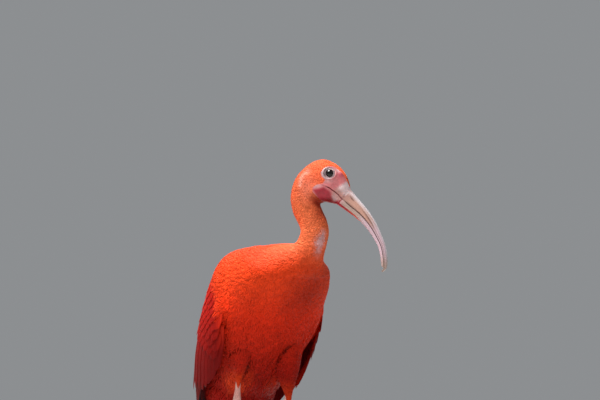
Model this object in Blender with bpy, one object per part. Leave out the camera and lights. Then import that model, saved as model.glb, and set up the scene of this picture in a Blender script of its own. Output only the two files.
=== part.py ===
"""A still, life-size scarlet ibis, standing with its head turned to its left.

The bird faces -Y and its left side is +X. Sizes below are in millimetres, and
places in its middle plane are (forward, up) pairs. Meshes are made in metres.
The floor is at z = 0, under the flat soles of both feet.
"""

import functools
import math
import random

import bmesh
import bpy
import numpy as np
from mathutils import Vector
from mathutils.bvhtree import BVHTree

MM = 0.001
GAP = 0.3
SHARP_EDGE = math.radians(50)

# The trunk is a run of rings across a straight axis that climbs steeply forward.
TRUNK_CLIMB = math.radians(60)
TRUNK_MIDDLE = np.array([5.0, 208.0])
TRUNK_ALONG = np.array([math.cos(TRUNK_CLIMB), math.sin(TRUNK_CLIMB)])
TRUNK_DOWN = np.array([math.sin(TRUNK_CLIMB), -math.cos(TRUNK_CLIMB)])

# Place along the axis, depth to the back, depth to the belly, half width, squareness.
TRUNK_ROWS = [
    (-114, 39, 17, 40.5, 2.1),
    (-98, 43, 29, 46.5, 2.2),
    (-80, 45.5, 35, 51, 2.3),
    (-55, 47.5, 39, 57, 2.5),
    (-28, 49, 44, 63.5, 2.8),
    (0, 49, 47, 66.5, 2.9),
    (25, 45, 51, 66, 2.8),
    (50, 35, 58, 61.5, 2.7),
    (70, 21, 64, 52.5, 2.6),
]

# Upper breast, where the rings fan forward into the neck: back point, breast point,
# half width, squareness, turn to the left in degrees.
BREAST_ROWS = [
    ((48, 284), (103, 235), 43, 2.5, 0),
    ((64, 284.5), (108, 240), 33, 2.3, 3),
    ((76, 281), (112, 247), 25, 2.1, 9),
]

# The neck and head turn about an upright axis this far forward of the trunk's middle.
TURN_AXIS = 76.0

# Neck: distance before the turn axis, height, climb in degrees, half depth, half width,
# turn to the left in degrees.
NECK_ROWS = [
    (25.0, 271, 68, 18.7, 18.5, 20),
    (28.3, 283.5, 82, 18.0, 17.5, 27),
    (29.1, 293.5, 93, 17.3, 17.0, 32),
    (26.5, 303, 105, 17.0, 16.5, 35),
    (20.5, 314, 111, 16.9, 16.2, 39),
    (16.5, 322.5, 106, 17.4, 16.5, 42),
]

# Head: rings that fan round the chin. Crown point and chin point before the turn axis,
# half width, squareness, how much wider the upper half is.
HEAD_TURN = 47.0
HEAD_ROWS = [
    ((-3.6, 334), (35.0, 329.0), 16.6, 2.0, 0.02),
    ((-2.2, 346), (38.2, 329.6), 16.6, 2.0, 0.06),
    ((2.6, 358.8), (40.5, 329.5), 16.6, 2.0, 0.10),
    ((9.5, 367.6), (43.0, 329.0), 16.8, 2.1, 0.13),
    ((20.0, 376.0), (45.2, 328.5), 17.0, 2.1, 0.15),
    ((29.5, 380.4), (47.2, 328.1), 17.0, 2.1, 0.16),
    ((38.6, 381.3), (48.8, 327.7), 16.6, 2.1, 0.17),
    ((49.5, 377.2), (50.4, 327.3), 15.6, 2.1, 0.16),
    ((58.6, 370.6), (51.8, 327.0), 13.6, 2.1, 0.12),
    ((66.4, 359.4), (53.0, 326.8), 11.4, 2.1, 0.06),
    ((70.8, 343.8), (54.1, 326.5), 9.4, 2.1, 0.02),
]

# Bill: culmen point, lower point, half width, share of the depth above the mouth line.
BILL_ROWS = [
    ((70.8, 343.8), (54.1, 326.5), 9.0, 0.60),
    ((82.2, 330.5), (67.8, 316.6), 6.9, 0.60),
    ((90.6, 320.7), (78.0, 309.4), 5.7, 0.59),
    ((100.7, 306.0), (89.6, 297.9), 4.8, 0.58),
    ((109.3, 287.9), (99.9, 283.2), 4.1, 0.57),
    ((113.5, 276.8), (104.7, 273.7), 3.8, 0.55),
    ((115.7, 263.4), (107.4, 262.1), 3.6, 0.53),
    ((116.2, 254.4), (108.3, 254.2), 3.2, 0.54),
    ((114.6, 248.0), (109.0, 248.4), 2.5, 0.56),
]


def clear_scene():
    for thing in list(bpy.data.objects):
        bpy.data.objects.remove(thing)


def make_material(name, colour, roughness):
    material = bpy.data.materials.new(name)
    material.use_nodes = True
    shader = material.node_tree.nodes["Principled BSDF"]
    shader.inputs["Base Color"].default_value = (*colour, 1.0)
    shader.inputs["Roughness"].default_value = roughness
    material.diffuse_color = (*colour, 1.0)
    return material


class Track:
    """Smooth values between rows that each start with their place along the run."""

    def __init__(self, rows):
        table = np.array(rows, float)
        self.places = table[:, 0]
        self.values = table[:, 1:]
        self.slopes = np.gradient(self.values, self.places, axis=0)

    def at(self, place):
        last = len(self.places) - 2
        row = int(np.clip(np.searchsorted(self.places, place) - 1, 0, last))
        span = self.places[row + 1] - self.places[row]
        k = (place - self.places[row]) / span
        start, end = self.values[row], self.values[row + 1]
        leave, arrive = self.slopes[row] * span, self.slopes[row + 1] * span
        return (
            (2 * k**3 - 3 * k**2 + 1) * start
            + (k**3 - 2 * k**2 + k) * leave
            + (3 * k**2 - 2 * k**3) * end
            + (k**3 - k**2) * arrive
        )


def with_places(rows):
    """Rows of (top forward, top up, bottom forward, bottom up, ...), each led by its place."""
    placed = []
    place, before = 0.0, None
    for row in rows:
        middle = (np.array(row[0:2]) + np.array(row[2:4])) / 2
        if before is not None:
            place += float(np.linalg.norm(middle - before))
        placed.append((place, *row))
        before = middle
    return placed


def body_rows():
    """Every ring of trunk, neck and head: top, bottom, half width, squareness, high, turn."""
    rows = []
    for along, back, belly, width, square in TRUNK_ROWS:
        middle = TRUNK_MIDDLE + TRUNK_ALONG * along
        rows.append((*(middle - TRUNK_DOWN * back), *(middle + TRUNK_DOWN * belly), width, square, 0, 0))
    for top, bottom, width, square, turn in BREAST_ROWS:
        rows.append((*top, *bottom, width, square, 0, turn))
    for ahead, height, climb, depth, width, turn in NECK_ROWS:
        tilt = math.radians(climb)
        middle = np.array([TURN_AXIS + ahead, height])
        up = np.array([-math.sin(tilt), math.cos(tilt)])
        rows.append((*(middle + up * depth), *(middle - up * depth), width, 2.0, 0, turn))
    for crown, chin, width, square, high in HEAD_ROWS:
        rows.append((TURN_AXIS + crown[0], crown[1], TURN_AXIS + chin[0], chin[1], width, square, high, HEAD_TURN))
    return with_places(rows)


BODY_TABLE = body_rows()
BODY = Track(BODY_TABLE)
TAIL_JOIN = BODY_TABLE[0][0]
NECK_JOIN = BODY_TABLE[len(TRUNK_ROWS) + len(BREAST_ROWS) - 1][0]
NECK_MIDDLE = BODY_TABLE[len(TRUNK_ROWS) + len(BREAST_ROWS) + 2][0]
HEAD_JOIN = BODY_TABLE[len(BODY_TABLE) - len(HEAD_ROWS)][0]
BILL_JOIN = BODY_TABLE[-1][0]


def world(ahead, height, across, turn):
    """The point (ahead of the turn axis, height, across to the left) after the turn."""
    angle = math.radians(turn)
    x = ahead * math.sin(angle) + across * math.cos(angle)
    y = -TURN_AXIS - ahead * math.cos(angle) + across * math.sin(angle)
    return np.array([x, y, height])


def power(value, square):
    """Cosine or sine of a squared-off oval."""
    return math.copysign(abs(value) ** (2 / square), value)


def body_point(place, angle, grow=0.0, slide=0.0):
    """A point of the body: angle 0 is the back, 90 its left. slide moves it along the body."""
    top_f, top_z, low_f, low_z, width, square, high, turn = BODY.at(place)
    middle = np.array([top_f + low_f, top_z + low_z]) / 2
    up = np.array([top_f - low_f, top_z - low_z]) / 2
    depth = np.linalg.norm(up)
    up = up / depth
    forward = np.array([up[1], -up[0]])
    rise = power(math.cos(angle), square) * (depth + grow)
    across = power(math.sin(angle), square) * (width + grow) * (1 + high * math.cos(angle))
    point = middle + up * rise + forward * slide
    return world(point[0] - TURN_AXIS, point[1], across, turn)


def ring_of(point_at, count):
    return [point_at(2 * math.pi * k / count) for k in range(count)]


def body_ring(place, count, grow=0.0, slide=0.0):
    return ring_of(lambda angle: body_point(place, angle, grow, slide), count)


def mesh_object(name, points, faces, material):
    """A closed mesh from points in millimetres, faces turned outward, shaded smooth."""
    mesh = bpy.data.meshes.new(name)
    mesh.from_pydata([Vector(p) * MM for p in points], [], faces)
    body = bmesh.new()
    body.from_mesh(mesh)
    bmesh.ops.recalc_face_normals(body, faces=body.faces)
    body.to_mesh(mesh)
    body.free()
    mesh.materials.append(material)
    thing = bpy.data.objects.new(name, mesh)
    bpy.context.scene.collection.objects.link(thing)
    finish_shading(thing)
    return thing


def finish_shading(thing):
    thing.data.shade_smooth()
    thing.data.set_sharp_from_angle(angle=SHARP_EDGE)


def loft(name, rings, material, tip=None, start=None):
    """Skins rings of equal count and closes both ends, each flat or to a point where given."""
    count = len(rings[0])
    points = [p for ring in rings for p in ring]
    faces = []
    for i in range(len(rings) - 1):
        for k in range(count):
            a = i * count + k
            b = i * count + (k + 1) % count
            faces.append((a, b, b + count, a + count))
    if start is None:
        faces.append(tuple(range(count))[::-1])
    else:
        points.append(start)
        faces += [((k + 1) % count, k, len(points) - 1) for k in range(count)]
    last = (len(rings) - 1) * count
    if tip is None:
        faces.append(tuple(range(last, last + count)))
    else:
        points.append(tip)
        faces += [(last + k, last + (k + 1) % count, len(points) - 1) for k in range(count)]
    return mesh_object(name, points, faces, material)


def combine(base, pieces, operation="UNION"):
    """Joins or cuts base with closed pieces in one Boolean, then removes the pieces."""
    helpers = bpy.data.collections.new(base.name + "_pieces")
    for piece in pieces:
        helpers.objects.link(piece)
    boolean = base.modifiers.new("Combine", "BOOLEAN")
    boolean.operation = operation
    boolean.solver = "EXACT"
    boolean.operand_type = "COLLECTION"
    boolean.collection = helpers
    bpy.context.view_layer.update()
    graph = bpy.context.evaluated_depsgraph_get()
    joined = bpy.data.meshes.new_from_object(base.evaluated_get(graph))
    base.modifiers.clear()
    base.data = joined
    for piece in pieces:
        bpy.data.objects.remove(piece)
    bpy.data.collections.remove(helpers)
    keep_largest(base)
    finish_shading(base)


def keep_largest(thing):
    """Deletes every closed surface of the mesh but the one with the most volume."""
    body = bmesh.new()
    body.from_mesh(thing.data)
    seen = set()
    shells = []
    for start in body.faces:
        if start in seen:
            continue
        seen.add(start)
        shell = [start]
        for face in shell:
            for edge in face.edges:
                for other in edge.link_faces:
                    if other not in seen:
                        seen.add(other)
                        shell.append(other)
        shells.append(shell)
    shells.sort(key=shell_volume)
    for shell in shells[:-1]:
        bmesh.ops.delete(body, geom=shell, context="FACES")
    body.to_mesh(thing.data)
    body.free()


def shell_volume(shell):
    total = 0.0
    for face in shell:
        corners = [vert.co for vert in face.verts]
        for second, third in zip(corners[1:], corners[2:]):
            total += corners[0].dot(second.cross(third))
    return abs(total)


def steps(start, end, count):
    return [start + (end - start) * i / (count - 1) for i in range(count)]


# Trunk and neck

TORSO_RINGS = 19
BODY_COUNT = 30
NECK_COUNT = 24
NECK_RINGS = 9


def make_torso(material, name="torso", grow=0.0):
    rings = [body_ring(place, BODY_COUNT, grow) for place in steps(TAIL_JOIN, NECK_JOIN, TORSO_RINGS)]
    return loft(name, rings, material)


def make_neck(name, start, end, material):
    places = steps(start, end, NECK_RINGS)
    rings = [body_ring(places[0], NECK_COUNT, slide=GAP)]
    rings += [body_ring(place, NECK_COUNT) for place in places[1:]]
    return loft(name, rings, material)


# Head and eyes

HEAD_COUNT = 28
HEAD_RINGS = 15
EYE_RADIUS = 6.3
EYE_AHEAD = 48.2
EYE_HEIGHT = 363.0
EYE_ACROSS = 9.9
LID_RADIUS = 5.9
LID_THICK = 1.2
LID_ACROSS = 14.2
LID_STRETCH = 1.05
LID_COUNTS = (24, 8)
GAPE_POINTS = [(59.0, 334.2), (55.0, 337.2), (49.2, 342.2), (43.5, 346.2), (38.5, 348.6)]
GAPE_RADIUS = 0.75
BESIDE_HEAD = 40.0


def ball(name, radii, place, material, around=18, rows=8):
    """An oval solid; place turns (ahead, up, across) from its centre into a point."""
    rings = []
    for row in range(1, rows):
        polar = math.pi * row / rows
        flat, high = math.sin(polar), math.cos(polar)
        ring = []
        for k in range(around):
            turn = 2 * math.pi * k / around
            ring.append(place(radii[0] * flat * math.cos(turn), radii[1] * flat * math.sin(turn), radii[2] * high))
        rings.append(ring)
    return loft(name, rings, material, tip=place(0, 0, -radii[2]), start=place(0, 0, radii[2]))


def eye_ball(name, side, radius, material):
    """A sphere at one eye of the turned head."""

    def place(ahead, up, across):
        return world(EYE_AHEAD + ahead, EYE_HEIGHT + up, side * EYE_ACROSS + across, HEAD_TURN)

    return ball(name, (radius, radius, radius), place, material)


def make_lid(side, material):
    """The raised rim of skin round one eye, a flattened ring in the head's own plane."""
    around, tube = LID_COUNTS
    points, faces = [], []
    for i in range(around):
        bearing = 2 * math.pi * i / around
        for k in range(tube):
            roll = 2 * math.pi * k / tube
            reach = LID_RADIUS + LID_THICK * math.cos(roll)
            ahead = EYE_AHEAD + reach * math.cos(bearing) * LID_STRETCH
            height = EYE_HEIGHT + reach * math.sin(bearing)
            points.append(world(ahead, height, side * (LID_ACROSS + LID_THICK * math.sin(roll)), HEAD_TURN))
            after, beside = (i + 1) % around, (k + 1) % tube
            faces.append((i * tube + k, after * tube + k, after * tube + beside, i * tube + beside))
    return mesh_object("lid", points, faces, material)


def head_surface(skull):
    """A function that gives how far across the skull's side lies at a place of its plane."""
    mesh = skull.data
    tree = BVHTree.FromPolygons([v.co for v in mesh.vertices], [p.vertices for p in mesh.polygons])
    inward = world(0, 0, 0, HEAD_TURN) - world(0, 0, 1, HEAD_TURN)

    def across(ahead, height, side):
        start = world(ahead, height, side * BESIDE_HEAD, HEAD_TURN) * MM
        hit = tree.ray_cast(Vector(start), Vector(inward * side))
        return BESIDE_HEAD - hit[3] / MM

    return across


def make_gape(across, side, material):
    """The cutter for the line of the mouth that runs back under the eye."""
    path = [world(a, h, side * across(a, h, side), HEAD_TURN) for a, h in GAPE_POINTS]
    path.insert(0, 2 * path[0] - path[1])
    radii = [GAPE_RADIUS] * len(path)
    return sweep("gape", path, radii, radii, 6, material)


def make_head(material):
    places = steps(HEAD_JOIN, BILL_JOIN, HEAD_RINGS)
    rings = [body_ring(places[0], HEAD_COUNT, slide=GAP)]
    rings += [body_ring(place, HEAD_COUNT) for place in places[1:]]
    skull = loft("head", rings, material)
    across = head_surface(skull)
    gapes = [make_gape(across, side, material) for side in (1, -1)]
    combine(skull, [make_lid(side, material) for side in (1, -1)])
    sockets = [eye_ball("socket", side, EYE_RADIUS + GAP, material) for side in (1, -1)]
    combine(skull, sockets + gapes, "DIFFERENCE")
    return skull


def make_eyes(material):
    for name, side in (("eye_left", 1), ("eye_right", -1)):
        eye_ball(name, side, EYE_RADIUS, material)


# Bill

BILL_RINGS = 20
BILL_ARC = 12
BILL_SQUARE = 2.2
MOUTH_GAP = 0.35
NASAL_GROOVE = math.radians(58)
NASAL_WIDTH = math.radians(9)
NASAL_DEPTH = 0.55
LOWER_SHORT = 3.0
# How far each mandible's point lies ahead of its last ring, and above the mouth line.
UPPER_POINT = (4.5, -2.5)
LOWER_POINT = (2.2, 0.2)
# Nostril: place along the bill, shares of the depth and half width, half sizes.
NOSTRIL_PLACE = 11.0
NOSTRIL_RISE = 0.62
NOSTRIL_ACROSS = 0.80
NOSTRIL_SIZE = (4.6, 1.3, 1.0)

BILL_TABLE = with_places([(*top, *low, width, share) for top, low, width, share in BILL_ROWS])
BILL = Track(BILL_TABLE)
BILL_END = BILL_TABLE[-1][0]


def bill_frame(place):
    """Mouth-line point, up and forward in the head's plane, depths above and below, half width."""
    top_f, top_z, low_f, low_z, width, share = BILL.at(place)
    top, low = np.array([top_f, top_z]), np.array([low_f, low_z])
    depth = np.linalg.norm(top - low)
    up = (top - low) / depth
    mouth = top - up * depth * share
    forward = np.array([up[1], -up[0]])
    return mouth, up, forward, depth * share, depth * (1 - share), width


def mandible_ring(place, upper, slide=0.0):
    """Half an oval above or below the mouth line, closed by its flat side."""
    mouth, up, forward, above, below, width = bill_frame(place)
    height = (above if upper else below) - MOUTH_GAP / 2
    way = 1 if upper else -1
    ring = []
    for k in range(BILL_ARC + 1):
        angle = math.pi * (k / BILL_ARC - 0.5)
        bulge = 1.0
        if upper:
            near = (abs(angle) - NASAL_GROOVE) / NASAL_WIDTH
            bulge -= NASAL_DEPTH / width * math.exp(-near * near)
        across = power(math.sin(angle), BILL_SQUARE) * width * bulge
        rise = power(math.cos(angle), BILL_SQUARE) * height * bulge + MOUTH_GAP / 2
        point = mouth + up * rise * way + forward * slide
        ring.append(world(point[0], point[1], across * way, HEAD_TURN))
    return ring


def make_mandible(name, upper, material):
    end = BILL_END if upper else BILL_END - LOWER_SHORT
    places = steps(0, end, BILL_RINGS)
    rings = [mandible_ring(places[0], upper, GAP)]
    rings += [mandible_ring(place, upper) for place in places[1:]]
    mouth, up, forward = bill_frame(end)[:3]
    ahead, rise = UPPER_POINT if upper else LOWER_POINT
    point = mouth + forward * ahead + up * (rise + MOUTH_GAP * (1 if upper else -1))
    return loft(name, rings, material, world(point[0], point[1], 0, HEAD_TURN))


def make_nostril(side, material):
    """The cutter for one slit nostril, set in the groove along the upper mandible."""
    mouth, up, forward, above, below, width = bill_frame(NOSTRIL_PLACE)
    centre = mouth + up * above * NOSTRIL_RISE

    def place(ahead, rise, across):
        point = centre + forward * ahead + up * rise
        return world(point[0], point[1], side * width * NOSTRIL_ACROSS + across, HEAD_TURN)

    return ball("nostril", NOSTRIL_SIZE, place, material, 10, 6)


def make_bill(material):
    upper = make_mandible("bill_upper", True, material)
    combine(upper, [make_nostril(side, material) for side in (1, -1)], "DIFFERENCE")
    make_mandible("bill_lower", False, material)


# Swept parts: thighs, legs, toes and claws

STEEP = 0.8

def sweep(name, path, halves_across, halves_high, count, material, tip=None, ends=None, floor=None):
    """Oval rings along a path. ends gives the directions of the first and last ring."""
    path = [np.array(p, float) for p in path]
    rings = []
    for i, centre in enumerate(path):
        ahead = path[min(i + 1, len(path) - 1)] - path[max(i - 1, 0)]
        if ends is not None and i in (0, len(path) - 1):
            ahead = np.array(ends[0 if i == 0 else 1], float)
        ahead = ahead / np.linalg.norm(ahead)
        steep = abs(ahead[2]) > STEEP
        across = np.cross(ahead, (0, 1, 0) if steep else (0, 0, 1))
        across = across / np.linalg.norm(across)
        high = np.cross(across, ahead)
        ring = []
        for k in range(count):
            angle = 2 * math.pi * k / count
            point = centre + across * halves_across[i] * math.cos(angle) + high * halves_high[i] * math.sin(angle)
            if floor is not None:
                point[2] = max(point[2], floor)
            ring.append(point)
        rings.append(ring)
    return loft(name, rings, material, tip)


# Each leg: hidden top of the thigh, end of the feathers, ankle and foot, as (left, forward, up).
LEGS = {
    "left": {"top": (27, 0, 190), "cuff": (30, 5, 103), "ankle": (28.5, -3, 84), "foot": (28, 24, 11)},
    "right": {"top": (-31, -3, 190), "cuff": (-33, -5, 124), "ankle": (-31, -14, 93), "foot": (-29, -2, 11)},
}
# Share of the way from the thigh's top to the cuff, half width, half depth.
THIGH_ROWS = [(0, 20, 24), (0.3, 21, 25), (0.55, 17, 20.5), (0.75, 12, 14), (0.9, 8, 9), (1, 4.6, 4.8)]
THIGH_COUNT = 20


def leg_point(place):
    """A point from (left, forward, up)."""
    return np.array([place[0], -place[1], place[2]], float)


def make_thigh(side, torso_grown, material):
    leg = LEGS[side]
    top, cuff = leg_point(leg["top"]), leg_point(leg["cuff"])
    path = [top + (cuff - top) * row[0] for row in THIGH_ROWS]
    across, deep = [row[1] for row in THIGH_ROWS], [row[2] for row in THIGH_ROWS]
    ends = (cuff - top, leg_point(leg["ankle"]) - cuff)
    thigh = sweep("thigh_" + side, path, across, deep, THIGH_COUNT, material, ends=ends)
    combine(thigh, [torso_grown], "DIFFERENCE")
    return thigh


LEG_COUNT = 12
DOWNWARD = (0, 0, -1)
# Share of the way down the shin or the tarsus, half width, half depth.
SHIN_ROWS = [(0, 3.2, 3.2), (0.55, 3.3, 3.3), (0.78, 4.1, 4.4), (1, 4.7, 5.3)]
TARSUS_ROWS = [
    (0.075, 4.2, 4.7),
    (0.16, 3.2, 3.5),
    (0.4, 3.1, 3.3),
    (0.65, 2.9, 3.1),
    (0.86, 3.1, 3.3),
    (0.95, 3.9, 4.1),
    (1, 4.3, 4.5),
]


def make_leg(side, material):
    """Bare shin, swollen ankle and tarsus, from the feather cuff to the foot."""
    leg = LEGS[side]
    cuff, ankle, foot = (leg_point(leg[name]) for name in ("cuff", "ankle", "foot"))
    shin_way = (ankle - cuff) / np.linalg.norm(ankle - cuff)
    cuff = cuff + shin_way * GAP
    path = [cuff + (ankle - cuff) * row[0] for row in SHIN_ROWS]
    path += [ankle + (foot - ankle) * row[0] for row in TARSUS_ROWS]
    across = [row[1] for row in SHIN_ROWS + TARSUS_ROWS]
    deep = [row[2] for row in SHIN_ROWS + TARSUS_ROWS]
    return sweep("leg_" + side, path, across, deep, LEG_COUNT, material, ends=(shin_way, DOWNWARD))


# Toes: bearing from straight ahead in degrees, length, joints.
TOES = {
    "inner": (-27, 46, 2),
    "middle": (2, 58, 3),
    "outer": (30, 50, 3),
    "hind": (176, 25, 1),
}
TOE_COUNT = 8
TOE_HEIGHT = 2.4
TOE_RADII = (3.5, 2.2)
TOE_SWELL = 0.32
TOE_LIFT = 3.0
CLAW_LENGTH = 7.5
CLAW_RADIUS = 1.85
CLAW_ARCH = 0.5
CLAW_COUNT = 6
WEB_THICK = 1.2
WEB_LIFT = 0.9
WEB_REACH = 17.0
WEB_HOLLOW = 5.5
# Foot's hub: height over the floor, half width, half depth.
HUB_ROWS = [(6.0, 4.9, 5.2), (0.0, 4.4, 4.6)]


def toe_way(side, name):
    outward = 1 if side == "left" else -1
    bearing = math.radians(TOES[name][0]) * outward
    return np.array([math.sin(bearing), -math.cos(bearing), 0.0])


def toe_line(side, name):
    """Start and end of a toe's centre line, at its own height over the floor."""
    way = toe_way(side, name)
    hub = leg_point(LEGS[side]["foot"])
    start = np.array([hub[0], hub[1], TOE_HEIGHT])
    return start, start + way * TOES[name][1], way


def make_toe(side, name, material):
    """A toe that swells at each joint and rises to the hub at its root."""
    start, end, way = toe_line(side, name)
    joints = TOES[name][2]
    path, across, high = [], [], []
    for share in steps(0, 1, joints * 3 + 2):
        swell = TOE_SWELL * math.cos(2 * math.pi * share * (joints + 0.5))
        radius = TOE_RADII[0] + (TOE_RADII[1] - TOE_RADII[0]) * share + swell
        lift = TOE_LIFT * (1 - share) ** 3
        path.append(start + (end - start) * share + np.array([0, 0, lift]))
        across.append(radius)
        high.append(radius + lift * 0.4)
    return sweep("toe", path, across, high, TOE_COUNT, material, ends=(way, way), floor=0.0)


def make_claw(side, name, material):
    """A curved claw that starts at the toe's flat end and comes down to the floor."""
    end, way = toe_line(side, name)[1:]
    base = end + way * GAP
    path, radii = [], []
    for share in steps(0, 0.8, 5):
        arch = np.array([0, 0, CLAW_ARCH * math.sin(math.pi * share)])
        path.append(base + way * CLAW_LENGTH * share + arch)
        radii.append(CLAW_RADIUS * (1 - share) ** 0.6)
    tip = base + way * CLAW_LENGTH - np.array([0, 0, TOE_HEIGHT - CLAW_ARCH])
    title = "claw_" + name + "_" + side
    return sweep(title, path, radii, radii, CLAW_COUNT, material, tip=tip, ends=(way, way), floor=0.0)


def make_web(side, first, second, material):
    """The skin between two toes near their roots, with a hollow front edge."""
    start, way_a = toe_line(side, first)[0], toe_way(side, first)
    way_b = toe_way(side, second)
    outline = [
        start - (way_a + way_b),
        start + way_a * WEB_REACH,
        start + (way_a + way_b) * 0.5 * (WEB_REACH - WEB_HOLLOW),
        start + way_b * WEB_REACH,
    ]
    points = [(p[0], p[1], height) for height in (WEB_LIFT, WEB_LIFT + WEB_THICK) for p in outline]
    faces = [(0, 1, 2, 3), (4, 5, 6, 7)]
    faces += [(k, (k + 1) % 4, (k + 1) % 4 + 4, k + 4) for k in range(4)]
    return mesh_object("web", points, faces, material)


def make_foot(side, material):
    """The hub under the leg, flat on the floor, with its four toes and two webs."""
    hub = leg_point(LEGS[side]["foot"])
    rows = [(hub[2] - GAP, *TARSUS_ROWS[-1][1:]), *HUB_ROWS]
    path = [(hub[0], hub[1], row[0]) for row in rows]
    across, deep = [row[1] for row in rows], [row[2] for row in rows]
    foot = sweep("foot_" + side, path, across, deep, LEG_COUNT, material, ends=(DOWNWARD, DOWNWARD))
    pieces = [make_toe(side, name, material) for name in TOES]
    pieces += [make_web(side, "inner", "middle", material), make_web(side, "middle", "outer", material)]
    combine(foot, pieces)
    return foot


# Wings: a shell that lies on the trunk and hangs free past it, down to the feather tips.
# Place along the trunk axis, depth to the back, depth to the belly, half width, squareness.
WING_SHELL_ROWS = [
    (-215, 30, 14, 26, 2.1),
    (-185, 36, 19, 36, 2.2),
    (-155, 43, 26, 47, 2.3),
    (-130, 46.5, 32, 55, 2.4),
    (-105, 49, 38, 60.5, 2.4),
    (-80, 51, 41, 65, 2.5),
    (-55, 51.5, 43, 67.5, 2.6),
    (-28, 51, 44.5, 68, 2.8),
    (0, 50, 47.5, 67.5, 2.9),
    (25, 46.5, 51.5, 67, 2.8),
    (50, 36.5, 58.5, 62.5, 2.7),
    (70, 22.5, 64.5, 53.5, 2.6),
    (86, 10, 66, 44, 2.5),
]
WING_SHELL = Track(WING_SHELL_ROWS)
WING_TOP = 80.0
SECTION_SAMPLES = 61
SECTION_STEP = 4.0

# The wing's front edge: distance round from the back, distance down the wing.
WING_FRONT_ROWS = [
    (16, 4),
    (30, 0),
    (45, 6),
    (60, 17),
    (75, 29),
    (90, 42),
    (104, 53),
    (116, 66),
    (124, 82),
    (130, 96),
]
WING_FRONT = Track(WING_FRONT_ROWS)
# The fleshy core: arcs it spans, its lower end, its clearance, rim and ramp shares.
CORE_ARCS = (12.0, 124.0)
CORE_END = 114.0
CORE_CLEAR = 0.7
CORE_RIM = 0.7
CORE_RAMPS = (0.1, 0.14)
CORE_ROWS, CORE_COLUMNS = 8, 8
# Distance down the wing, height of the core over the shell.
CORE_HEIGHT = Track([(0, 2.6), (14, 4.6), (36, 4.9), (62, 4.6), (88, 4.0), (104, 3.4), (116, 2.4)])

# Vanes: thickness at root and tip, rise of the shaft, places along and their share of the width.
VANE_THICK = (0.7, 0.5)
SHAFT_RISE = 0.15
COVERT_SHAPE = ([0.0, 0.42, 0.8, 1.0], [0.6, 1.0, 0.9, 0.2])
FLIGHT_SHAPE = ([0.0, 0.3, 0.65, 0.9, 1.0], [0.6, 0.95, 1.0, 0.78, 0.2])


def mirrored(point, side):
    return point * np.array([1 if side == "left" else -1, 1, 1])


@functools.lru_cache(maxsize=None)
def shell_section(down):
    """One side of the shell across the wing: its middle, and points with their arc lengths."""
    back, belly, width, square = WING_SHELL.at(WING_TOP - down)
    angles = np.linspace(0, math.pi, SECTION_SAMPLES)
    across = np.array([power(math.sin(a), square) * width for a in angles])
    rise = np.array([power(math.cos(a), square) * (back + belly) / 2 for a in angles])
    arcs = np.concatenate([[0], np.cumsum(np.hypot(np.diff(across), np.diff(rise)))])
    middle = TRUNK_MIDDLE + TRUNK_ALONG * (WING_TOP - down) + TRUNK_DOWN * (belly - back) / 2
    return middle, across, rise, arcs


def shell_point(down, arc, out):
    """A point over the trunk's left side: distances down the wing, round from the back, and out."""
    middle, across, rise, arcs = shell_section(round(float(down), 3))

    def section(at):
        return np.array([np.interp(at, arcs, across), np.interp(at, arcs, rise)])

    run = section(arc + SECTION_STEP) - section(arc - SECTION_STEP)
    run = run / np.linalg.norm(run)
    aside, up = section(arc) + np.array([-run[1], run[0]]) * out
    place = middle - TRUNK_DOWN * up
    return np.array([aside, -place[0], place[1]])


def sheet_faces(rows, columns, offset):
    """Triangles of a grid, every cell split along the same diagonal."""
    faces = []
    for i in range(rows - 1):
        for k in range(columns - 1):
            a = offset + i * columns + k
            faces += [(a, a + 1, a + columns + 1), (a, a + columns + 1, a + columns)]
    return faces


def closed_sheet(name, lower, upper, rows, columns, material):
    """A thin closed plate between two grids of points, split alike on both faces."""
    size = rows * columns
    faces = sheet_faces(rows, columns, 0) + sheet_faces(rows, columns, size)
    rim = list(range(columns))
    rim += [i * columns + columns - 1 for i in range(1, rows)]
    rim += [(rows - 1) * columns + k for k in range(columns - 2, -1, -1)]
    rim += [i * columns for i in range(rows - 2, 0, -1)]
    for a, b in zip(rim, rim[1:] + rim[:1]):
        faces += [(a, b, b + size), (a, b + size, a + size)]
    return mesh_object(name, lower + upper, faces, material)


def make_vane(point_at, root, tip, shape, half_width, material, tilt=0.0, bow=0.0):
    """One thin, tapered feather. root and tip are (down, round, out), which point_at places."""
    root, tip = np.array(root, float), np.array(tip, float)
    run = (tip - root)[:2]
    beside = np.array([-run[1], run[0]]) / np.linalg.norm(run)
    lower, upper = [], []
    for share, width in zip(*shape):
        centre = root + (tip - root) * share
        centre[:2] += beside * bow * math.sin(math.pi * share)
        thick = VANE_THICK[0] + (VANE_THICK[1] - VANE_THICK[0]) * share
        for edge in (-1, 0, 1):
            offset = beside * edge * half_width * width
            down, arc = centre[:2] + offset
            out = centre[2] + tilt * offset[1] + SHAFT_RISE * (1 - abs(edge))
            lower.append(point_at(down, arc, out))
            upper.append(point_at(down, arc, out + thick))
    return closed_sheet("vane", lower, upper, len(shape[0]), 3, material)


def make_wing_core(side, material):
    """The fleshy part of the folded wing, thin at its edges, where the feathers root."""
    lower, upper = [], []
    for i, share in enumerate(steps(0, 1, CORE_ROWS)):
        for k, arc in enumerate(steps(*CORE_ARCS, CORE_COLUMNS)):
            front = WING_FRONT.at(arc)[0]
            down = front + (CORE_END - front) * share
            ramp = min(share / CORE_RAMPS[0], (1 - share) / CORE_RAMPS[1], k, CORE_COLUMNS - 1 - k, 1.0)
            height = CORE_RIM + (CORE_HEIGHT.at(down)[0] - CORE_RIM) * math.sin(math.pi / 2 * ramp)
            lower.append(mirrored(shell_point(down, arc, CORE_CLEAR), side))
            upper.append(mirrored(shell_point(down, arc, CORE_CLEAR + height), side))
    return closed_sheet("wing_" + side, lower, upper, CORE_ROWS, CORE_COLUMNS, material)


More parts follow.
